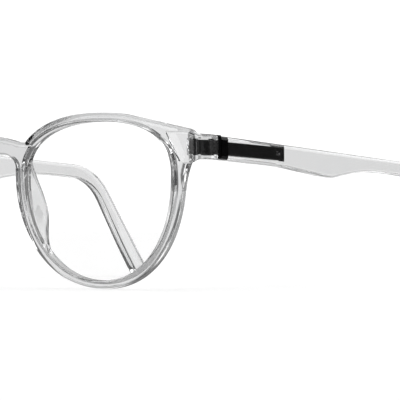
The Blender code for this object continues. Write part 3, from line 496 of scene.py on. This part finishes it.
def opening_loops(side):
    """The opening's wall from front to back, with the lens groove."""
    mouth = LENS_THICKNESS / 2 + CLEARANCE
    bottom = LENS_APEX / 2 + CLEARANCE
    deep = LENS_GRIP + CLEARANCE
    front = quarter(OPENING_ROUND, OPENING_STEPS, True)
    front += [(0.0, GROOVE_MIDDLE - mouth - GROOVE_CORNER), (GROOVE_CORNER, GROOVE_MIDDLE - mouth),
              (deep, GROOVE_MIDDLE - bottom), (deep, GROOVE_MIDDLE + bottom),
              (GROOVE_CORNER, GROOVE_MIDDLE + mouth), (0.0, GROOVE_MIDDLE + mouth + GROOVE_CORNER)]
    back = quarter(OPENING_ROUND, OPENING_STEPS, False)
    loops = [[(side * x, depth, z) for x, z in eye_loop(round(offset, 5))] for offset, depth in front]
    loops += [[(side * x, rim_depth(z) - rise, z) for x, z in eye_loop(round(offset, 5))]
              for offset, rise in back]
    return loops


def back_round(x, z):
    """Width and depth of the outer wall's rounded back edge at a place."""
    full, start = (EYE_X - distance for distance in NOSE_SIDE)
    inner = share_between(abs(x), start, full)
    above = share_between(z, BRIDGE_BOTTOM, BRIDGE_TOP)
    made = []
    for below, beside, nose, top in zip(BACK_ROUND_BELOW, BACK_ROUND, NOSE_BACK_ROUND, TOP_BACK_ROUND):
        outward = towards_lug(z, below, beside)
        inward = nose + (top - nose) * above
        made.append(outward + (inward - outward) * inner)
    return made


def edge_loops(outline):
    """The outer wall from front to back, with rounded edges."""
    loops = []
    for inward, depth in quarter(1.0, ROUND_STEPS, True):
        inner = drawn_in(outline, [inward * FRONT_ROUND_FACE] * len(outline))
        loops.append([(x, depth * FRONT_ROUND, z) for x, z in inner])
    rounds = [back_round(x, z) for x, z in outline]
    for inward, rise in quarter(1.0, ROUND_STEPS, False):
        inner = drawn_in(outline, [inward * width for width, _ in rounds])
        loops.append([(x, rim_depth(z) - rise * depth, z)
                      for (x, z), (_, depth) in zip(inner, rounds)])
    return loops


def inside(points, loops):
    """Which (x, z) points lie inside an odd number of the loops."""
    odd = np.zeros(len(points), bool)
    for loop in loops:
        corners = np.array(loop)
        following = np.roll(corners, -1, axis=0)
        for (ax, az), (bx, bz) in zip(corners, following):
            if az == bz:
                continue
            crosses = (points[:, 1] < az) != (points[:, 1] < bz)
            odd ^= crosses & (points[:, 0] < ax + (points[:, 1] - az) * (bx - ax) / (bz - az))
    return odd


def even_net(loops, edge_points):
    """Evenly spaced (x, z) points between the loops, the same on both sides of the middle."""
    low, high = edge_points.min(0), edge_points.max(0)
    rows = np.arange(low[1], high[1], FILL_SPACING * math.sqrt(0.75))
    grid = []
    for k, z in enumerate(rows):
        half_step = FILL_SPACING / 2 if k % 2 else 0.0
        outward = np.arange(half_step, high[0], FILL_SPACING)
        grid += [(x, z) for x in outward]
        grid += [(-x, z) for x in outward if x > 0]
    grid = np.array(grid)
    grid = grid[inside(grid, loops)]
    gaps = np.array([np.hypot(*(edge_points - p).T).min() for p in grid])
    return grid[gaps > FILL_EDGE_GAP * FILL_SPACING]


def fill_face(bm, rings, depth):
    """Closes the face between rings of vertices with an even net that follows the depth."""
    loops = [[(v.co.x, v.co.z) for v in ring] for ring in rings]
    edge_points = np.array([p for loop in loops for p in loop])
    edges = []
    start = 0
    for loop in loops:
        edges += [(start + i, start + (i + 1) % len(loop)) for i in range(len(loop))]
        start += len(loop)
    points = [Vector(p) for p in np.vstack([edge_points, even_net(loops, edge_points)])]
    found = delaunay_2d_cdt(points, edges, [], 0, FILL_EPSILON)
    flat, triangles, origins = found[0], found[2], found[3]
    ring_verts = [v for ring in rings for v in ring]
    made = []
    for place_2d, origin in zip(flat, origins):
        known = [i for i in origin if i < len(ring_verts)]
        if known:
            made.append(ring_verts[known[0]])
        else:
            made.append(bm.verts.new((place_2d.x, depth(place_2d.y), place_2d.y)))
    centres = np.array([[sum(flat[i].x for i in t) / 3, sum(flat[i].y for i in t) / 3]
                        for t in triangles])
    for keep, t in zip(inside(centres, loops), triangles):
        if keep:
            bm.faces.new([made[i] for i in t])


def front_plate():
    """Rims and bridge in one plate with rounded edges, and a lens groove in each opening."""
    half = half_outline()
    outline = half + [(-x, z) for x, z in reversed(half) if x > 0]
    bm = bmesh.new()
    fronts, backs = [], []
    for loops in (edge_loops(outline), opening_loops(1), opening_loops(-1)):
        first, last = wall(bm, loops)
        fronts.append(first)
        backs.append(last)
    fill_face(bm, fronts, lambda z: 0.0)
    fill_face(bm, backs, rim_depth)
    for v in bm.verts:
        v.co.z = max(v.co.z, 0.0)
        v.co.y += wrap(v.co.x, v.co.z)
    return bm


def lug_section(outer, inner, top, bottom, slant=0.0, chamfer=CHAMFER):
    """A section between an outer and an inner (x, y), with its top outer edge cut off."""
    shift = slant * (top - bottom)
    out_x, out_y = outer
    in_x, in_y = inner
    depth = Vector((in_x - out_x, in_y - out_y)).normalized() * chamfer
    return np.array([
        (out_x + shift, out_y, bottom), (in_x + shift, in_y, bottom), (in_x, in_y, top),
        (out_x + depth.x, out_y + depth.y, top), (out_x, out_y, top - chamfer)])


def lug():
    """The endpiece: it starts slanted on the rim, turns the corner and runs back to the joint."""
    def face(x):
        return wrap(x, LUG_MIDDLE) - LUG_PROUD

    def back(x):
        return wrap(x, LUG_MIDDLE) + RIM_DEPTH - LUG_BACK_INSET

    root_x = RIM_OUTSIDE - LUG_ROOT
    edge_x = RIM_OUTSIDE - 1.5
    beside_x = RIM_OUTSIDE + 1.6
    turn_x = CORNER_X - 0.7
    corner_y = face(CORNER_X)
    end_y = PIN_Y - JOINT_GAP / 2 - FRONT_FLANGE - CLEARANCE
    middle_y = (corner_y + end_y) / 2
    sections = [
        # Inside the rim, at its edge and beside it
        lug_section((root_x, face(root_x)), (root_x, back(root_x) - 0.3),
                    brow_height(root_x) - 1.0, LUG_BOTTOM - 0.5, slant=0.48),
        lug_section((edge_x, face(edge_x)), (edge_x - 0.9, back(edge_x - 0.9)),
                    brow_height(edge_x) - 0.4, LUG_BOTTOM - 1.1, slant=0.32),
        lug_section((beside_x, face(beside_x)), (INNER_X - 1.6, back(INNER_X - 1.6) + 0.3),
                    brow_height(beside_x) + 0.2, LUG_BOTTOM - 1.2, slant=0.12),
        # Before, on and behind the corner
        lug_section((turn_x, face(turn_x)), (INNER_X - 0.6, back(INNER_X - 0.6) + 0.9),
                    brow_height(turn_x) - 0.1, LUG_BOTTOM - 0.8, slant=0.03, chamfer=1.0),
        lug_section((CORNER_X, corner_y + 0.75), (INNER_X - 0.15, back(INNER_X) + 1.7),
                    LUG_TOP + 0.55, LUG_BOTTOM - 0.3, chamfer=0.9),
        lug_section((CORNER_X + 0.15, corner_y + 2.4), (INNER_X, back(INNER_X) + 2.4),
                    LUG_TOP + 0.3, LUG_BOTTOM, chamfer=0.75),
        # Along the wearer's temple to the joint
        lug_section((JOINT_X, middle_y + 2.4), (INNER_X, middle_y + 2.9),
                    LUG_TOP + 0.15, LUG_BOTTOM, chamfer=0.55),
        lug_section((JOINT_X, end_y), (INNER_X, end_y), LUG_TOP, LUG_BOTTOM, chamfer=LUG_ROUND),
    ]
    return loft([rounded(corners, LUG_ROUND, LUG_CORNER_STEPS)
                 for corners in refined(sections, LUG_STEPS)])


def pad_share(angle):
    """The pad's height as a share of its greatest. It fades out slowly at its lower end."""
    if angle < PAD_PEAK_ANGLE:
        above = (angle - PAD_TOP_ANGLE) / (PAD_PEAK_ANGLE - PAD_TOP_ANGLE)
        return math.sin(math.pi / 2 * above) ** PAD_SHOULDER
    below = (angle - PAD_PEAK_ANGLE) / (PAD_BOTTOM_ANGLE - PAD_PEAK_ANGLE)
    return 0.5 + 0.5 * math.cos(math.pi * below)


def nose_pad():
    """A fin that grows from the rim's back beside the nose and splays outward."""
    sections = []
    for k in range(PAD_STEPS + 1):
        angle = PAD_TOP_ANGLE + (PAD_BOTTOM_ANGLE - PAD_TOP_ANGLE) * k / PAD_STEPS
        share = pad_share(angle)
        tip = (PAD_ROOT_INNER + PAD_ROOT_OUTER) / 2 - PAD_SPLAY * share ** PAD_SPLAY_POWER
        inner, outer = tip - PAD_HALF_THICKNESS, tip + PAD_HALF_THICKNESS
        base = rim_depth(eye_point(angle, 0.0)[1]) - PAD_ROOT_DEPTH
        height = PAD_ROOT_DEPTH + PAD_LEAST + PAD_DEPTH * share
        # From the root's inner edge over the round tip to its outer edge
        rows = [(PAD_ROOT_INNER, base),
                (PAD_ROOT_INNER + 0.55 * (inner - PAD_ROOT_INNER), base + 0.6 * height),
                (inner, base + 0.86 * height), (tip, base + height), (outer, base + 0.88 * height),
                (PAD_ROOT_OUTER + 0.5 * (outer - PAD_ROOT_OUTER), base + 0.5 * height),
                (PAD_ROOT_OUTER, base)]
        section = []
        for offset, depth in refined(rows, PAD_ROW_STEPS):
            x, z = eye_point(angle, round(float(offset), 2))
            section.append((x, depth + wrap(x, z), z))
        sections.append(section)
    return loft(sections)


def leaf_pocket():
    """The slot in the lug that the front leaf is pressed into."""
    front_y = PIN_Y - JOINT_GAP / 2 - FRONT_FLANGE - LEAF_LENGTH - CLEARANCE
    low = (PIN_X + PIN_INBOARD - CLEARANCE, front_y, LUG_MIDDLE - HINGE_HEIGHT / 2 - CLEARANCE)
    high = (INNER_X + LEAF_THICKNESS + CLEARANCE, PIN_Y, LUG_MIDDLE + HINGE_HEIGHT / 2 + CLEARANCE)
    return box(low, high)


def flip(bm):
    """The mirror image of a bmesh. Everything is made for the wearer's left first."""
    for v in bm.verts:
        v.co.x = -v.co.x
    return bm


def same(bm):
    """Leaves a bmesh on the wearer's left."""
    return bm


def build_front():
    """The plate with the endpieces and pads joined to it and the leaves' slots cut."""
    helpers = []
    for to_side in (same, flip):
        helpers.append((place("lug", to_side(lug())), "UNION"))
        helpers.append((place("pad", to_side(nose_pad())), "UNION"))
        helpers.append((place("pocket", to_side(leaf_pocket())), "DIFFERENCE"))
    return combined(place("clear_front", front_plate()), helpers)


# Lenses

def build_lens():
    """A curved lens of even thickness whose edge is ground to fit the groove."""
    def share_point(point, share, depth):
        return (EYE_X + (point[0] - EYE_X) * share, depth, EYE_Z + (point[1] - EYE_Z) * share)

    def face_loop(share, half):
        depth = GROOVE_MIDDLE + half - LENS_BULGE * (1 - share**2)
        return [share_point(p, share, depth) for p in eye_loop(0.0)]

    def edge_loop(half):
        return [(x, GROOVE_MIDDLE + half, z) for x, z in eye_loop(LENS_GRIP)]

    shares = [k / LENS_RINGS for k in range(1, LENS_RINGS + 1)]
    loops = [face_loop(share, -LENS_THICKNESS / 2) for share in shares]
    loops += [edge_loop(-LENS_APEX / 2), edge_loop(LENS_APEX / 2)]
    loops += [face_loop(share, LENS_THICKNESS / 2) for share in reversed(shares)]
    bm = bmesh.new()
    ends = wall(bm, loops)
    for ring, offset in zip(ends, (-LENS_THICKNESS / 2, LENS_THICKNESS / 2)):
        middle = bm.verts.new((EYE_X, GROOVE_MIDDLE + offset - LENS_BULGE, EYE_Z))
        for i in range(len(ring)):
            bm.faces.new((ring[i - 1], ring[i], middle))
    for v in bm.verts:
        v.co.y += wrap(v.co.x, v.co.z)
    return bm


# Temples, in millimetres from the pin's middle

INNER = PIN_INBOARD
BACK_FACE = JOINT_GAP / 2
HOUSING_OUT = INNER + HOUSING_SUNK
HOUSING_IN = HOUSING_OUT - HOUSING_THICKNESS
SCREW_Y = BACK_FACE + HOUSING_LENGTH - HOUSING_SCREW_INSET
TEMPLE_START = BACK_FACE + HOUSING_FLANGE + CLEARANCE


def temple_section(s, drop):
    """The temple's cross-section at a distance behind the joint along its top edge."""
    x, y, z, angle = temple_path(s, drop)
    full = smooth_keys(HEIGHTS, s)
    width = smooth_keys(THICKNESSES, s)
    into_tip = max(0.0, s - TEMPLE_LENGTH + TIP_ROUND) / TIP_ROUND
    shrink = math.sqrt(max(TIP_LEAST**2, 1 - into_tip**2))
    tilt = angle * share_between(s, UPRIGHT_UNTIL, SQUARE_FROM)
    up = Vector((0.0, math.sin(tilt), math.cos(tilt)))
    middle = Vector((x, y, z)) - up * full / 2
    half_height = full / 2 * shrink
    half_width = width / 2 * (TIP_FLAT + (1 - TIP_FLAT) * shrink)
    corners = [middle + Vector((sx * half_width, 0, 0)) + up * sz * half_height
               for sx, sz in ((-1, -1), (1, -1), (1, 1), (-1, 1))]
    return rounded(corners, min(TEMPLE_ROUND, TEMPLE_ROUND_MOST * half_width), TEMPLE_CORNER_STEPS)


def temple_path(s, drop):
    """A point of the temple's top edge, and the angle it falls at there."""
    first = math.atan(TEMPLE_SLOPE)
    bend_length = BEND_RADIUS * (drop - first)
    start_top = LUG_TOP - TEMPLE_TOP_STEP - PIN_Z
    straight = min(s, BEND_START)
    y = straight * math.cos(first)
    z = start_top - straight * math.sin(first)
    angle = first
    if s > BEND_START:
        in_bend = min(s - BEND_START, bend_length)
        angle = first + in_bend / BEND_RADIUS
        y += BEND_RADIUS * (math.sin(angle) - math.sin(first))
        z -= BEND_RADIUS * (math.cos(first) - math.cos(angle))
    if s > BEND_START + bend_length:
        rest = s - BEND_START - bend_length
        y += rest * math.cos(drop)
        z -= rest * math.sin(drop)
    width = smooth_keys(THICKNESSES, s)
    behind = max(0.0, s - TEMPLE_STRAIGHT) / (TEMPLE_LENGTH - TEMPLE_STRAIGHT)
    x = INNER + width / 2 - TIP_INWARD * behind**2
    return x, y + BACK_FACE, z, angle


def drop_angle():
    """The ear bend's angle that sets the temple's tip on the table."""
    low, high = DROP_LIMITS
    for _ in range(DROP_HALVINGS):
        drop = (low + high) / 2
        lowest = min(p.z for back in (2.0, 1.0, 0.5, 0.0)
                     for p in temple_section(TEMPLE_LENGTH - back * TIP_ROUND, drop))
        if lowest > -PIN_Z - LAND:
            low = drop
        else:
            high = drop
    return high


def temple_stations():
    """Distances behind the joint at which the temple has a section."""
    first = TEMPLE_START - BACK_FACE
    tip = TEMPLE_LENGTH - TIP_ROUND
    made = [first + (tip - first) * k / TEMPLE_STEPS for k in range(TEMPLE_STEPS)]
    return made + [TEMPLE_LENGTH - TIP_ROUND * (1 - math.sin(math.pi / 2 * k / TIP_STEPS))
                   for k in range(TIP_STEPS + 1)]


def build_temple(to_side, name, drop):
    """The temple with the housing's pocket and its screw's hole."""
    bm = loft([temple_section(s, drop) for s in temple_stations()])
    for v in bm.verts:
        v.co.z = max(v.co.z, -PIN_Z)
    pocket = box((HOUSING_IN - CLEARANCE, BACK_FACE, -HOUSING_HEIGHT / 2 - CLEARANCE),
                 (HOUSING_OUT + CLEARANCE, BACK_FACE + HOUSING_LENGTH + POCKET_SPARE,
                  HOUSING_HEIGHT / 2 + CLEARANCE))
    bmesh.ops.subdivide_edges(pocket, edges=list(pocket.edges), cuts=1)
    fall(pocket)
    hole = bar_along_x(HOUSING_SCREW_RADIUS + RUNNING, SCREW_Y,
                       0.0, HOUSING_OUT + HOUSING_SCREW_BITE + CLEARANCE)
    fall(hole)
    for made in (bm, pocket, hole):
        bmesh.ops.translate(made, verts=made.verts, vec=(PIN_X, PIN_Y, PIN_Z))
    return combined(place(name, to_side(bm)), [(place("pocket", to_side(pocket)), "DIFFERENCE"),
                                               (place("hole", to_side(hole)), "DIFFERENCE")])


def bar_along_x(radius, y, low, high):
    turns = [2 * math.pi * i / HOLE_SIDES for i in range(HOLE_SIDES)]
    rings = [[(x, y + radius * math.cos(t), radius * math.sin(t)) for t in turns] for x in (low, high)]
    return loft(rings)


# Coil springs on the tongues' rods, in millimetres from the pin's middle too

SPRING_START = TONGUE_LENGTH + CLEARANCE + BUSH_LENGTH + RUNNING + SPRING_WIRE


def build_spring():
    """Round wire wound round the rod, between the lock bush and the nut."""
    total = SPRING_TURNS * TURN_STEPS
    bore_x = HOUSING_OUT - HOUSING_OUTER_WALL - BORE_RADIUS
    along = Vector((0.0, 1.0, 0.0))
    sections = []
    for k in range(total + 1):
        turn = 2 * math.pi * k / TURN_STEPS
        outward = Vector((math.cos(turn), 0.0, math.sin(turn)))
        start = Vector((bore_x, SPRING_START + SPRING_LENGTH * k / total, 0.0))
        section = []
        for i in range(WIRE_SIDES):
            around = 2 * math.pi * i / WIRE_SIDES
            reach = SPRING_MEAN_RADIUS + SPRING_WIRE * math.cos(around)
            section.append(start + reach * outward + SPRING_WIRE * math.sin(around) * along)
        sections.append(section)
    bm = loft(sections)
    fall(bm)
    bmesh.ops.translate(bm, verts=bm.verts, vec=(PIN_X, PIN_Y, PIN_Z))
    return bm


def press(spring):
    """Gives a spring a mesh of its own; it is not pressed together."""
    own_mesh(spring)


# Materials

PLASTIC_IOR = 1.5
FRONT_HAZE = 45.0              # how strongly the plastic takes in light
TEMPLE_HAZE = 12.0
HAZE_COLOUR = (0.5, 0.505, 0.51)
FLOW_DEPTH = 0.000004          # metres
FRONT_FLOW = (1.0, 1.0, 0.15)  # flow lines run up and down the front
TEMPLE_FLOW = (1.0, 0.15, 1.0)  # and along the temples
MOTTLE_ENDS = (0.3, 0.7)       # the noise between these spans a finish's two limits


def shader_of(material):
    return next(n for n in material.node_tree.nodes if n.type == "BSDF_PRINCIPLED")


def new_material(name, colour, roughness, metallic=0.0, transmission=0.0):
    made = bpy.data.materials.new(name)
    made.use_nodes = True
    shader = shader_of(made)
    shader.inputs["Base Color"].default_value = (*colour, 1.0)
    shader.inputs["Roughness"].default_value = roughness
    shader.inputs["Metallic"].default_value = metallic
    shader.inputs["Transmission Weight"].default_value = transmission
    shader.inputs["IOR"].default_value = PLASTIC_IOR
    return made


def absorb(material, colour, density):
    """Makes thick places darker than thin ones."""
    tree = material.node_tree
    volume = tree.nodes.new("ShaderNodeVolumeAbsorption")
    volume.inputs["Color"].default_value = (*colour, 1.0)
    volume.inputs["Density"].default_value = density
    tree.links.new(volume.outputs[0], tree.nodes["Material Output"].inputs["Volume"])


def noise_in(tree, scale, stretch, detail):
    """Soft noise in the piece's own place, with scale waves a metre. Returns its socket."""
    place_node = tree.nodes.new("ShaderNodeTexCoord")
    stretched = tree.nodes.new("ShaderNodeMapping")
    stretched.inputs["Scale"].default_value = stretch
    tree.links.new(place_node.outputs["Object"], stretched.inputs["Vector"])
    noise = tree.nodes.new("ShaderNodeTexNoise")
    noise.inputs["Scale"].default_value = scale
    noise.inputs["Detail"].default_value = detail
    tree.links.new(stretched.outputs[0], noise.inputs["Vector"])
    return noise.outputs["Fac"]


def uneven(material, scale, depth, stretch=(1.0, 1.0, 1.0), detail=1.0):
    """Gives a surface fine waves of a depth in metres."""
    tree = material.node_tree
    bump = tree.nodes.new("ShaderNodeBump")
    bump.inputs["Strength"].default_value = 1.0
    bump.inputs["Distance"].default_value = depth
    tree.links.new(noise_in(tree, scale, stretch, detail), bump.inputs["Height"])
    tree.links.new(bump.outputs[0], shader_of(material).inputs["Normal"])


def mottled(material, socket, low, high, scale, stretch=(1.0, 1.0, 1.0), detail=3.0):
    """Lets a value or colour of the finish wander between two limits from place to place."""
    tree = material.node_tree
    ramp = tree.nodes.new("ShaderNodeValToRGB")
    for element, end, limit in zip(ramp.color_ramp.elements, MOTTLE_ENDS, (low, high)):
        element.position = end
        element.color = (*limit, 1.0) if isinstance(limit, tuple) else (limit, limit, limit, 1.0)
    tree.links.new(noise_in(tree, scale, stretch, detail), ramp.inputs["Fac"])
    tree.links.new(ramp.outputs["Color"], shader_of(material).inputs[socket])


def set_finish(thing, material):
    thing.data.materials.clear()
    thing.data.materials.append(material)


def new_plastic(name, haze, flow):
    """Polished clear plastic with faint flow lines from the mould and fine rubs."""
    made = new_material(name, (1.0, 1.0, 1.0), 0.0, transmission=1.0)
    absorb(made, HAZE_COLOUR, haze)
    uneven(made, 700.0, FLOW_DEPTH, stretch=flow)
    mottled(made, "Roughness", 0.0, 0.03, 260.0)
    mottled(made, "Base Color", (0.975, 0.98, 0.985), (1.0, 1.0, 1.0), 180.0)
    return made


clear_plastic = new_plastic("moulded_clear_plastic", FRONT_HAZE, FRONT_FLOW)
temple_plastic = new_plastic("clear_temple_plastic", TEMPLE_HAZE, TEMPLE_FLOW)

# A coated lens with faint wipe marks
lens_plastic = new_material("clear_lens", (1.0, 1.0, 1.0), 0.02, metallic=1.0)
shader_of(lens_plastic).inputs["Alpha"].default_value = LENS_MIRROR
mottled(lens_plastic, "Roughness", 0.01, 0.08, 90.0, stretch=(1.0, 1.0, 0.4), detail=5.0)

# Satin black with a fine grain
black_metal = new_material("black_hinge_metal", (0.003, 0.003, 0.0035), 0.14)
shader_of(black_metal).inputs["Specular IOR Level"].default_value = 0.12
mottled(black_metal, "Roughness", 0.07, 0.16, 1500.0)
mottled(black_metal, "Base Color", (0.001, 0.001, 0.0012), (0.0025, 0.0025, 0.003), 2500.0)
uneven(black_metal, 5000.0, 0.0000015, detail=2.0)

# Steel with marks along the hinge
bright_steel = new_material("bright_steel", (0.55, 0.55, 0.57), 0.28, metallic=1.0)
mottled(bright_steel, "Roughness", 0.2, 0.4, 2500.0, stretch=(1.0, 0.1, 1.0))
mottled(bright_steel, "Base Color", (0.48, 0.48, 0.5), (0.6, 0.6, 0.62), 2500.0,
        stretch=(1.0, 0.1, 1.0))
uneven(bright_steel, 4000.0, 0.000002, stretch=(1.0, 0.08, 1.0), detail=2.0)

# Where the CAD's own frame lies: the front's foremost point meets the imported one
plate_front = min(wrap(x, z) for x, z in half_outline() + [(0.0, EYE_Z + UPRIGHT_RADIUS * FRONT_TILT)])
SHIFT_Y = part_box("front_frame")[0].y / MM - plate_front

front = build_front()
set_finish(front, clear_plastic)
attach(front, "front")
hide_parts("front_frame")

drop = drop_angle()
for side, to_side in (("left", same), ("right", flip)):
    glass = place("clear_lens_" + side, to_side(build_lens()), sharp_degrees=15.0)
    set_finish(glass, lens_plastic)
    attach(glass, "front")
    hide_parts("lens_" + side)
    arm = build_temple(to_side, "clear_temple_" + side, drop)
    set_finish(arm, temple_plastic)
    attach(arm, side + "_temple")
    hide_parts("temple_" + side)
    spring = place("coil_spring_" + side, to_side(build_spring()))
    set_finish(spring, bright_steel)
    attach(spring, side + "_tongue")
    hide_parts("tongue_spring_" + side)
    press(spring)

FINISHES = {"front_leaf": black_metal, "spring_housing": black_metal}
for name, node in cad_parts.items():
    kind = name.rsplit("_", 1)[0]
    if not node.hide_render:
        set_finish(node, FINISHES.get(kind, bright_steel))

# Studio: cards of soft light and shade far away, at directions seen from the spectacles.
# An azimuth counts to the right of the camera's line of sight, in degrees.
VIEW_DEGREES = 38.0
HORIZON_LIGHT = 0.35           # the room up to the horizon's top, and above it
HIGH_LIGHT = 0.12
HORIZON_TOP = 14.0
SEEN_WHITE = 1.15              # what the camera sees of the room without plastic before it
CARD_EDGE = 6.0                # width of the cards' soft edges
EVERYWHERE = 400.0             # a half width that goes all the way round
CARDS = {
    # azimuth, half width, elevation, half height, light
    "left_flag": (-17.0, 8.0, -15.0, 28.0, 0.15),
    "right_flag": (24.0, 12.0, -15.0, 28.0, 0.15),
    "high_right_flag": (24.0, 12.0, 21.0, 8.0, 0.15),
    "left_panel": (-35.0, 10.0, 7.0, 12.0, 1.2),
    "front_left_softbox": (-146.0, 19.0, 20.0, 25.0, 1.6),
    "right_softbox": (52.0, 14.0, 26.0, 18.0, 2.5),
    "right_side_flag": (76.0, 14.0, -15.0, 28.0, 0.06),
    "right_side_softbox": (90.0, 10.0, 37.0, 23.0, 2.2),
    "high_back_softbox": (-5.0, 20.0, 46.0, 18.0, 1.3),
    "overhead_softbox": (0.0, EVERYWHERE, 90.0, 28.0, 1.8),
    "above_backdrop": (0.0, 12.0, 21.0, 8.0, 0.5),
    "backdrop": (2.0, 10.0, -45.0, 59.0, 0.82),
}
# The table's sizes are in metres, seen along the camera's line of sight
FLOOR_SIDE = 3.2
# Painted pools of light: patches of the table glow, with no lamp under them, for the clear plastic to
# pick up
PAINTED_TABLE_GLOW = {
    # middle and half width to the right, middle and half length to the back, strength of the painted
    # glow
    "painted_glow_strip": (0.0, 0.15, 0.8, 0.82, 0.2),
    "painted_bright_glow_strip": (0.02, 0.09, 0.86, 0.74, 0.42),
    "painted_glow_patch_right": (0.2, 0.1, 0.05, 0.07, 0.5),
}
PAINTED_GLOW_EDGE = 0.05              # width of their soft edges
SEEN_EXTRA = 0.535             # the table's own light where the camera sees it directly
TABLE_GREY = 0.6
TABLE_DROP = 0.0001            # below the spectacles, so that no faces coincide


def math_node(tree, operation, *values):
    """A math node on numbers or sockets. Returns its socket."""
    made = tree.nodes.new("ShaderNodeMath")
    made.operation = operation
    for socket, value in zip(made.inputs, values):
        if isinstance(value, bpy.types.NodeSocket):
            tree.links.new(value, socket)
        else:
            socket.default_value = value
    return made.outputs[0]


def soft_step(tree, value, start, end):
    """0 up to start and 1 from end on, with a smooth change between them."""
    made = tree.nodes.new("ShaderNodeMapRange")
    made.interpolation_type = "SMOOTHSTEP"
    tree.links.new(value, made.inputs["Value"])
    made.inputs["From Min"].default_value = min(start, end)
    made.inputs["From Max"].default_value = max(start, end)
    made.inputs["To Min"].default_value = 0.0 if start < end else 1.0
    made.inputs["To Max"].default_value = 1.0 if start < end else 0.0
    return made.outputs["Result"]


def near(tree, value, middle, half, edge):
    """1 within half of the middle, with a soft edge."""
    gap = math_node(tree, "ABSOLUTE", math_node(tree, "SUBTRACT", value, middle))
    return soft_step(tree, gap, half + edge / 2, half - edge / 2)


def blend(tree, first, second, share):
    """first + (second - first) * share."""
    return math_node(tree, "MULTIPLY_ADD", math_node(tree, "SUBTRACT", second, first), share, first)


def seen_directly(tree):
    """1 where nothing but clear lenses lies before the studio, as if it were burnt out."""
    return tree.nodes.new("ShaderNodeLightPath").outputs["Is Camera Ray"]


def place_parts(tree, kind):
    """The X, Y and Z sockets of a place or direction."""
    place_node = tree.nodes.new("ShaderNodeTexCoord")
    parts = tree.nodes.new("ShaderNodeSeparateXYZ")
    tree.links.new(place_node.outputs[kind], parts.inputs[0])
    return parts.outputs


def build_world():
    """The room: two plain zones with the cards over them."""
    world = bpy.data.worlds.new("studio")
    bpy.context.scene.world = world
    world.use_nodes = True
    tree = world.node_tree
    x, y, z = place_parts(tree, "Generated")
    compass = math_node(tree, "DEGREES", math_node(tree, "ARCTAN2", y, x))
    elevation = math_node(tree, "DEGREES", math_node(tree, "ARCSINE", z))
    low = soft_step(tree, elevation, HORIZON_TOP + CARD_EDGE / 2, HORIZON_TOP - CARD_EDGE / 2)
    light = blend(tree, HIGH_LIGHT, HORIZON_LIGHT, low)
    for azimuth, half_width, height, half_height, level in CARDS.values():
        away = math_node(tree, "SUBTRACT", 90.0 + VIEW_DEGREES - azimuth, compass)
        away = math_node(tree, "WRAP", away, 180.0, -180.0)
        across = near(tree, away, 0.0, half_width, CARD_EDGE)
        upward = near(tree, elevation, height, half_height, CARD_EDGE)
        light = blend(tree, light, level, math_node(tree, "MULTIPLY", across, upward))
    light = blend(tree, light, SEEN_WHITE, seen_directly(tree))
    background = tree.nodes["Background"]
    background.inputs["Color"].default_value = (1.0, 1.0, 1.0, 1.0)
    tree.links.new(light, background.inputs["Strength"])


def build_floor():
    """A pale table with painted pools of light: it glows in a few patches with no lamp under it."""
    bm = bmesh.new()
    bmesh.ops.create_grid(bm, x_segments=1, y_segments=1, size=FLOOR_SIDE / 2)
    made = object_from("studio_floor", bm)
    made.location = (0.0, 0.0, -TABLE_DROP)
    made.rotation_euler.z = math.radians(VIEW_DEGREES)
    finish = new_material("studio_floor", (TABLE_GREY,) * 3, 1.0)
    tree = finish.node_tree
    shader = shader_of(finish)
    shader.inputs["Specular IOR Level"].default_value = 0.0
    shader.inputs["Emission Color"].default_value = (1.0, 1.0, 1.0, 1.0)
    x, y, _ = place_parts(tree, "Object")
    light = 0.0
    # Painted pools of light: the table's emission glows in these patches
    for right, half_width, back, half_length, level in PAINTED_TABLE_GLOW.values():
        across = near(tree, x, right, half_width, PAINTED_GLOW_EDGE)
        along = near(tree, y, back, half_length, PAINTED_GLOW_EDGE)
        light = blend(tree, light, level, math_node(tree, "MULTIPLY", across, along))
    light = blend(tree, light, SEEN_EXTRA, seen_directly(tree))
    tree.links.new(light, shader.inputs["Emission Strength"])
    set_finish(made, finish)


build_world()
build_floor()
bpy.context.scene.view_settings.view_transform = "Standard"

# Camera: level, from the front and the wearer's left, in millimetres
VIEW_DISTANCE = 900.0
PHOTO_SIDE = 400
PHOTO_SCALE = 3.68             # pixels a millimetre at the reference point
REFERENCE = (34.0, 0.0, 24.0)  # on the front's rims, under the brow
REFERENCE_PIXEL = (90.3, 200.9)


def build_camera():
    turn = math.radians(VIEW_DEGREES)
    right = Vector((math.cos(turn), math.sin(turn), 0.0))
    forward = Vector((-math.sin(turn), math.cos(turn), 0.0))
    up = Vector((0.0, 0.0, 1.0))
    reference = Vector(REFERENCE) + Vector((0.0, SHIFT_Y, 0.0))
    middle = PHOTO_SIDE / 2
    aim = (forward * VIEW_DISTANCE + right * (middle - REFERENCE_PIXEL[0]) / PHOTO_SCALE
           + up * (REFERENCE_PIXEL[1] - middle) / PHOTO_SCALE).normalized()
    back = -aim
    across = up.cross(back).normalized()
    data = bpy.data.cameras.new("photo_camera")
    data.sensor_width = 36.0
    data.lens = data.sensor_width * VIEW_DISTANCE * PHOTO_SCALE / PHOTO_SIDE
    data.clip_end = 20.0
    camera = bpy.data.objects.new("photo_camera", data)
    bpy.context.scene.collection.objects.link(camera)
    camera.matrix_world = (Matrix.Translation((reference - forward * VIEW_DISTANCE) * MM)
                           @ Matrix((across, back.cross(across), back)).transposed().to_4x4())
    bpy.context.scene.camera = camera


build_camera()
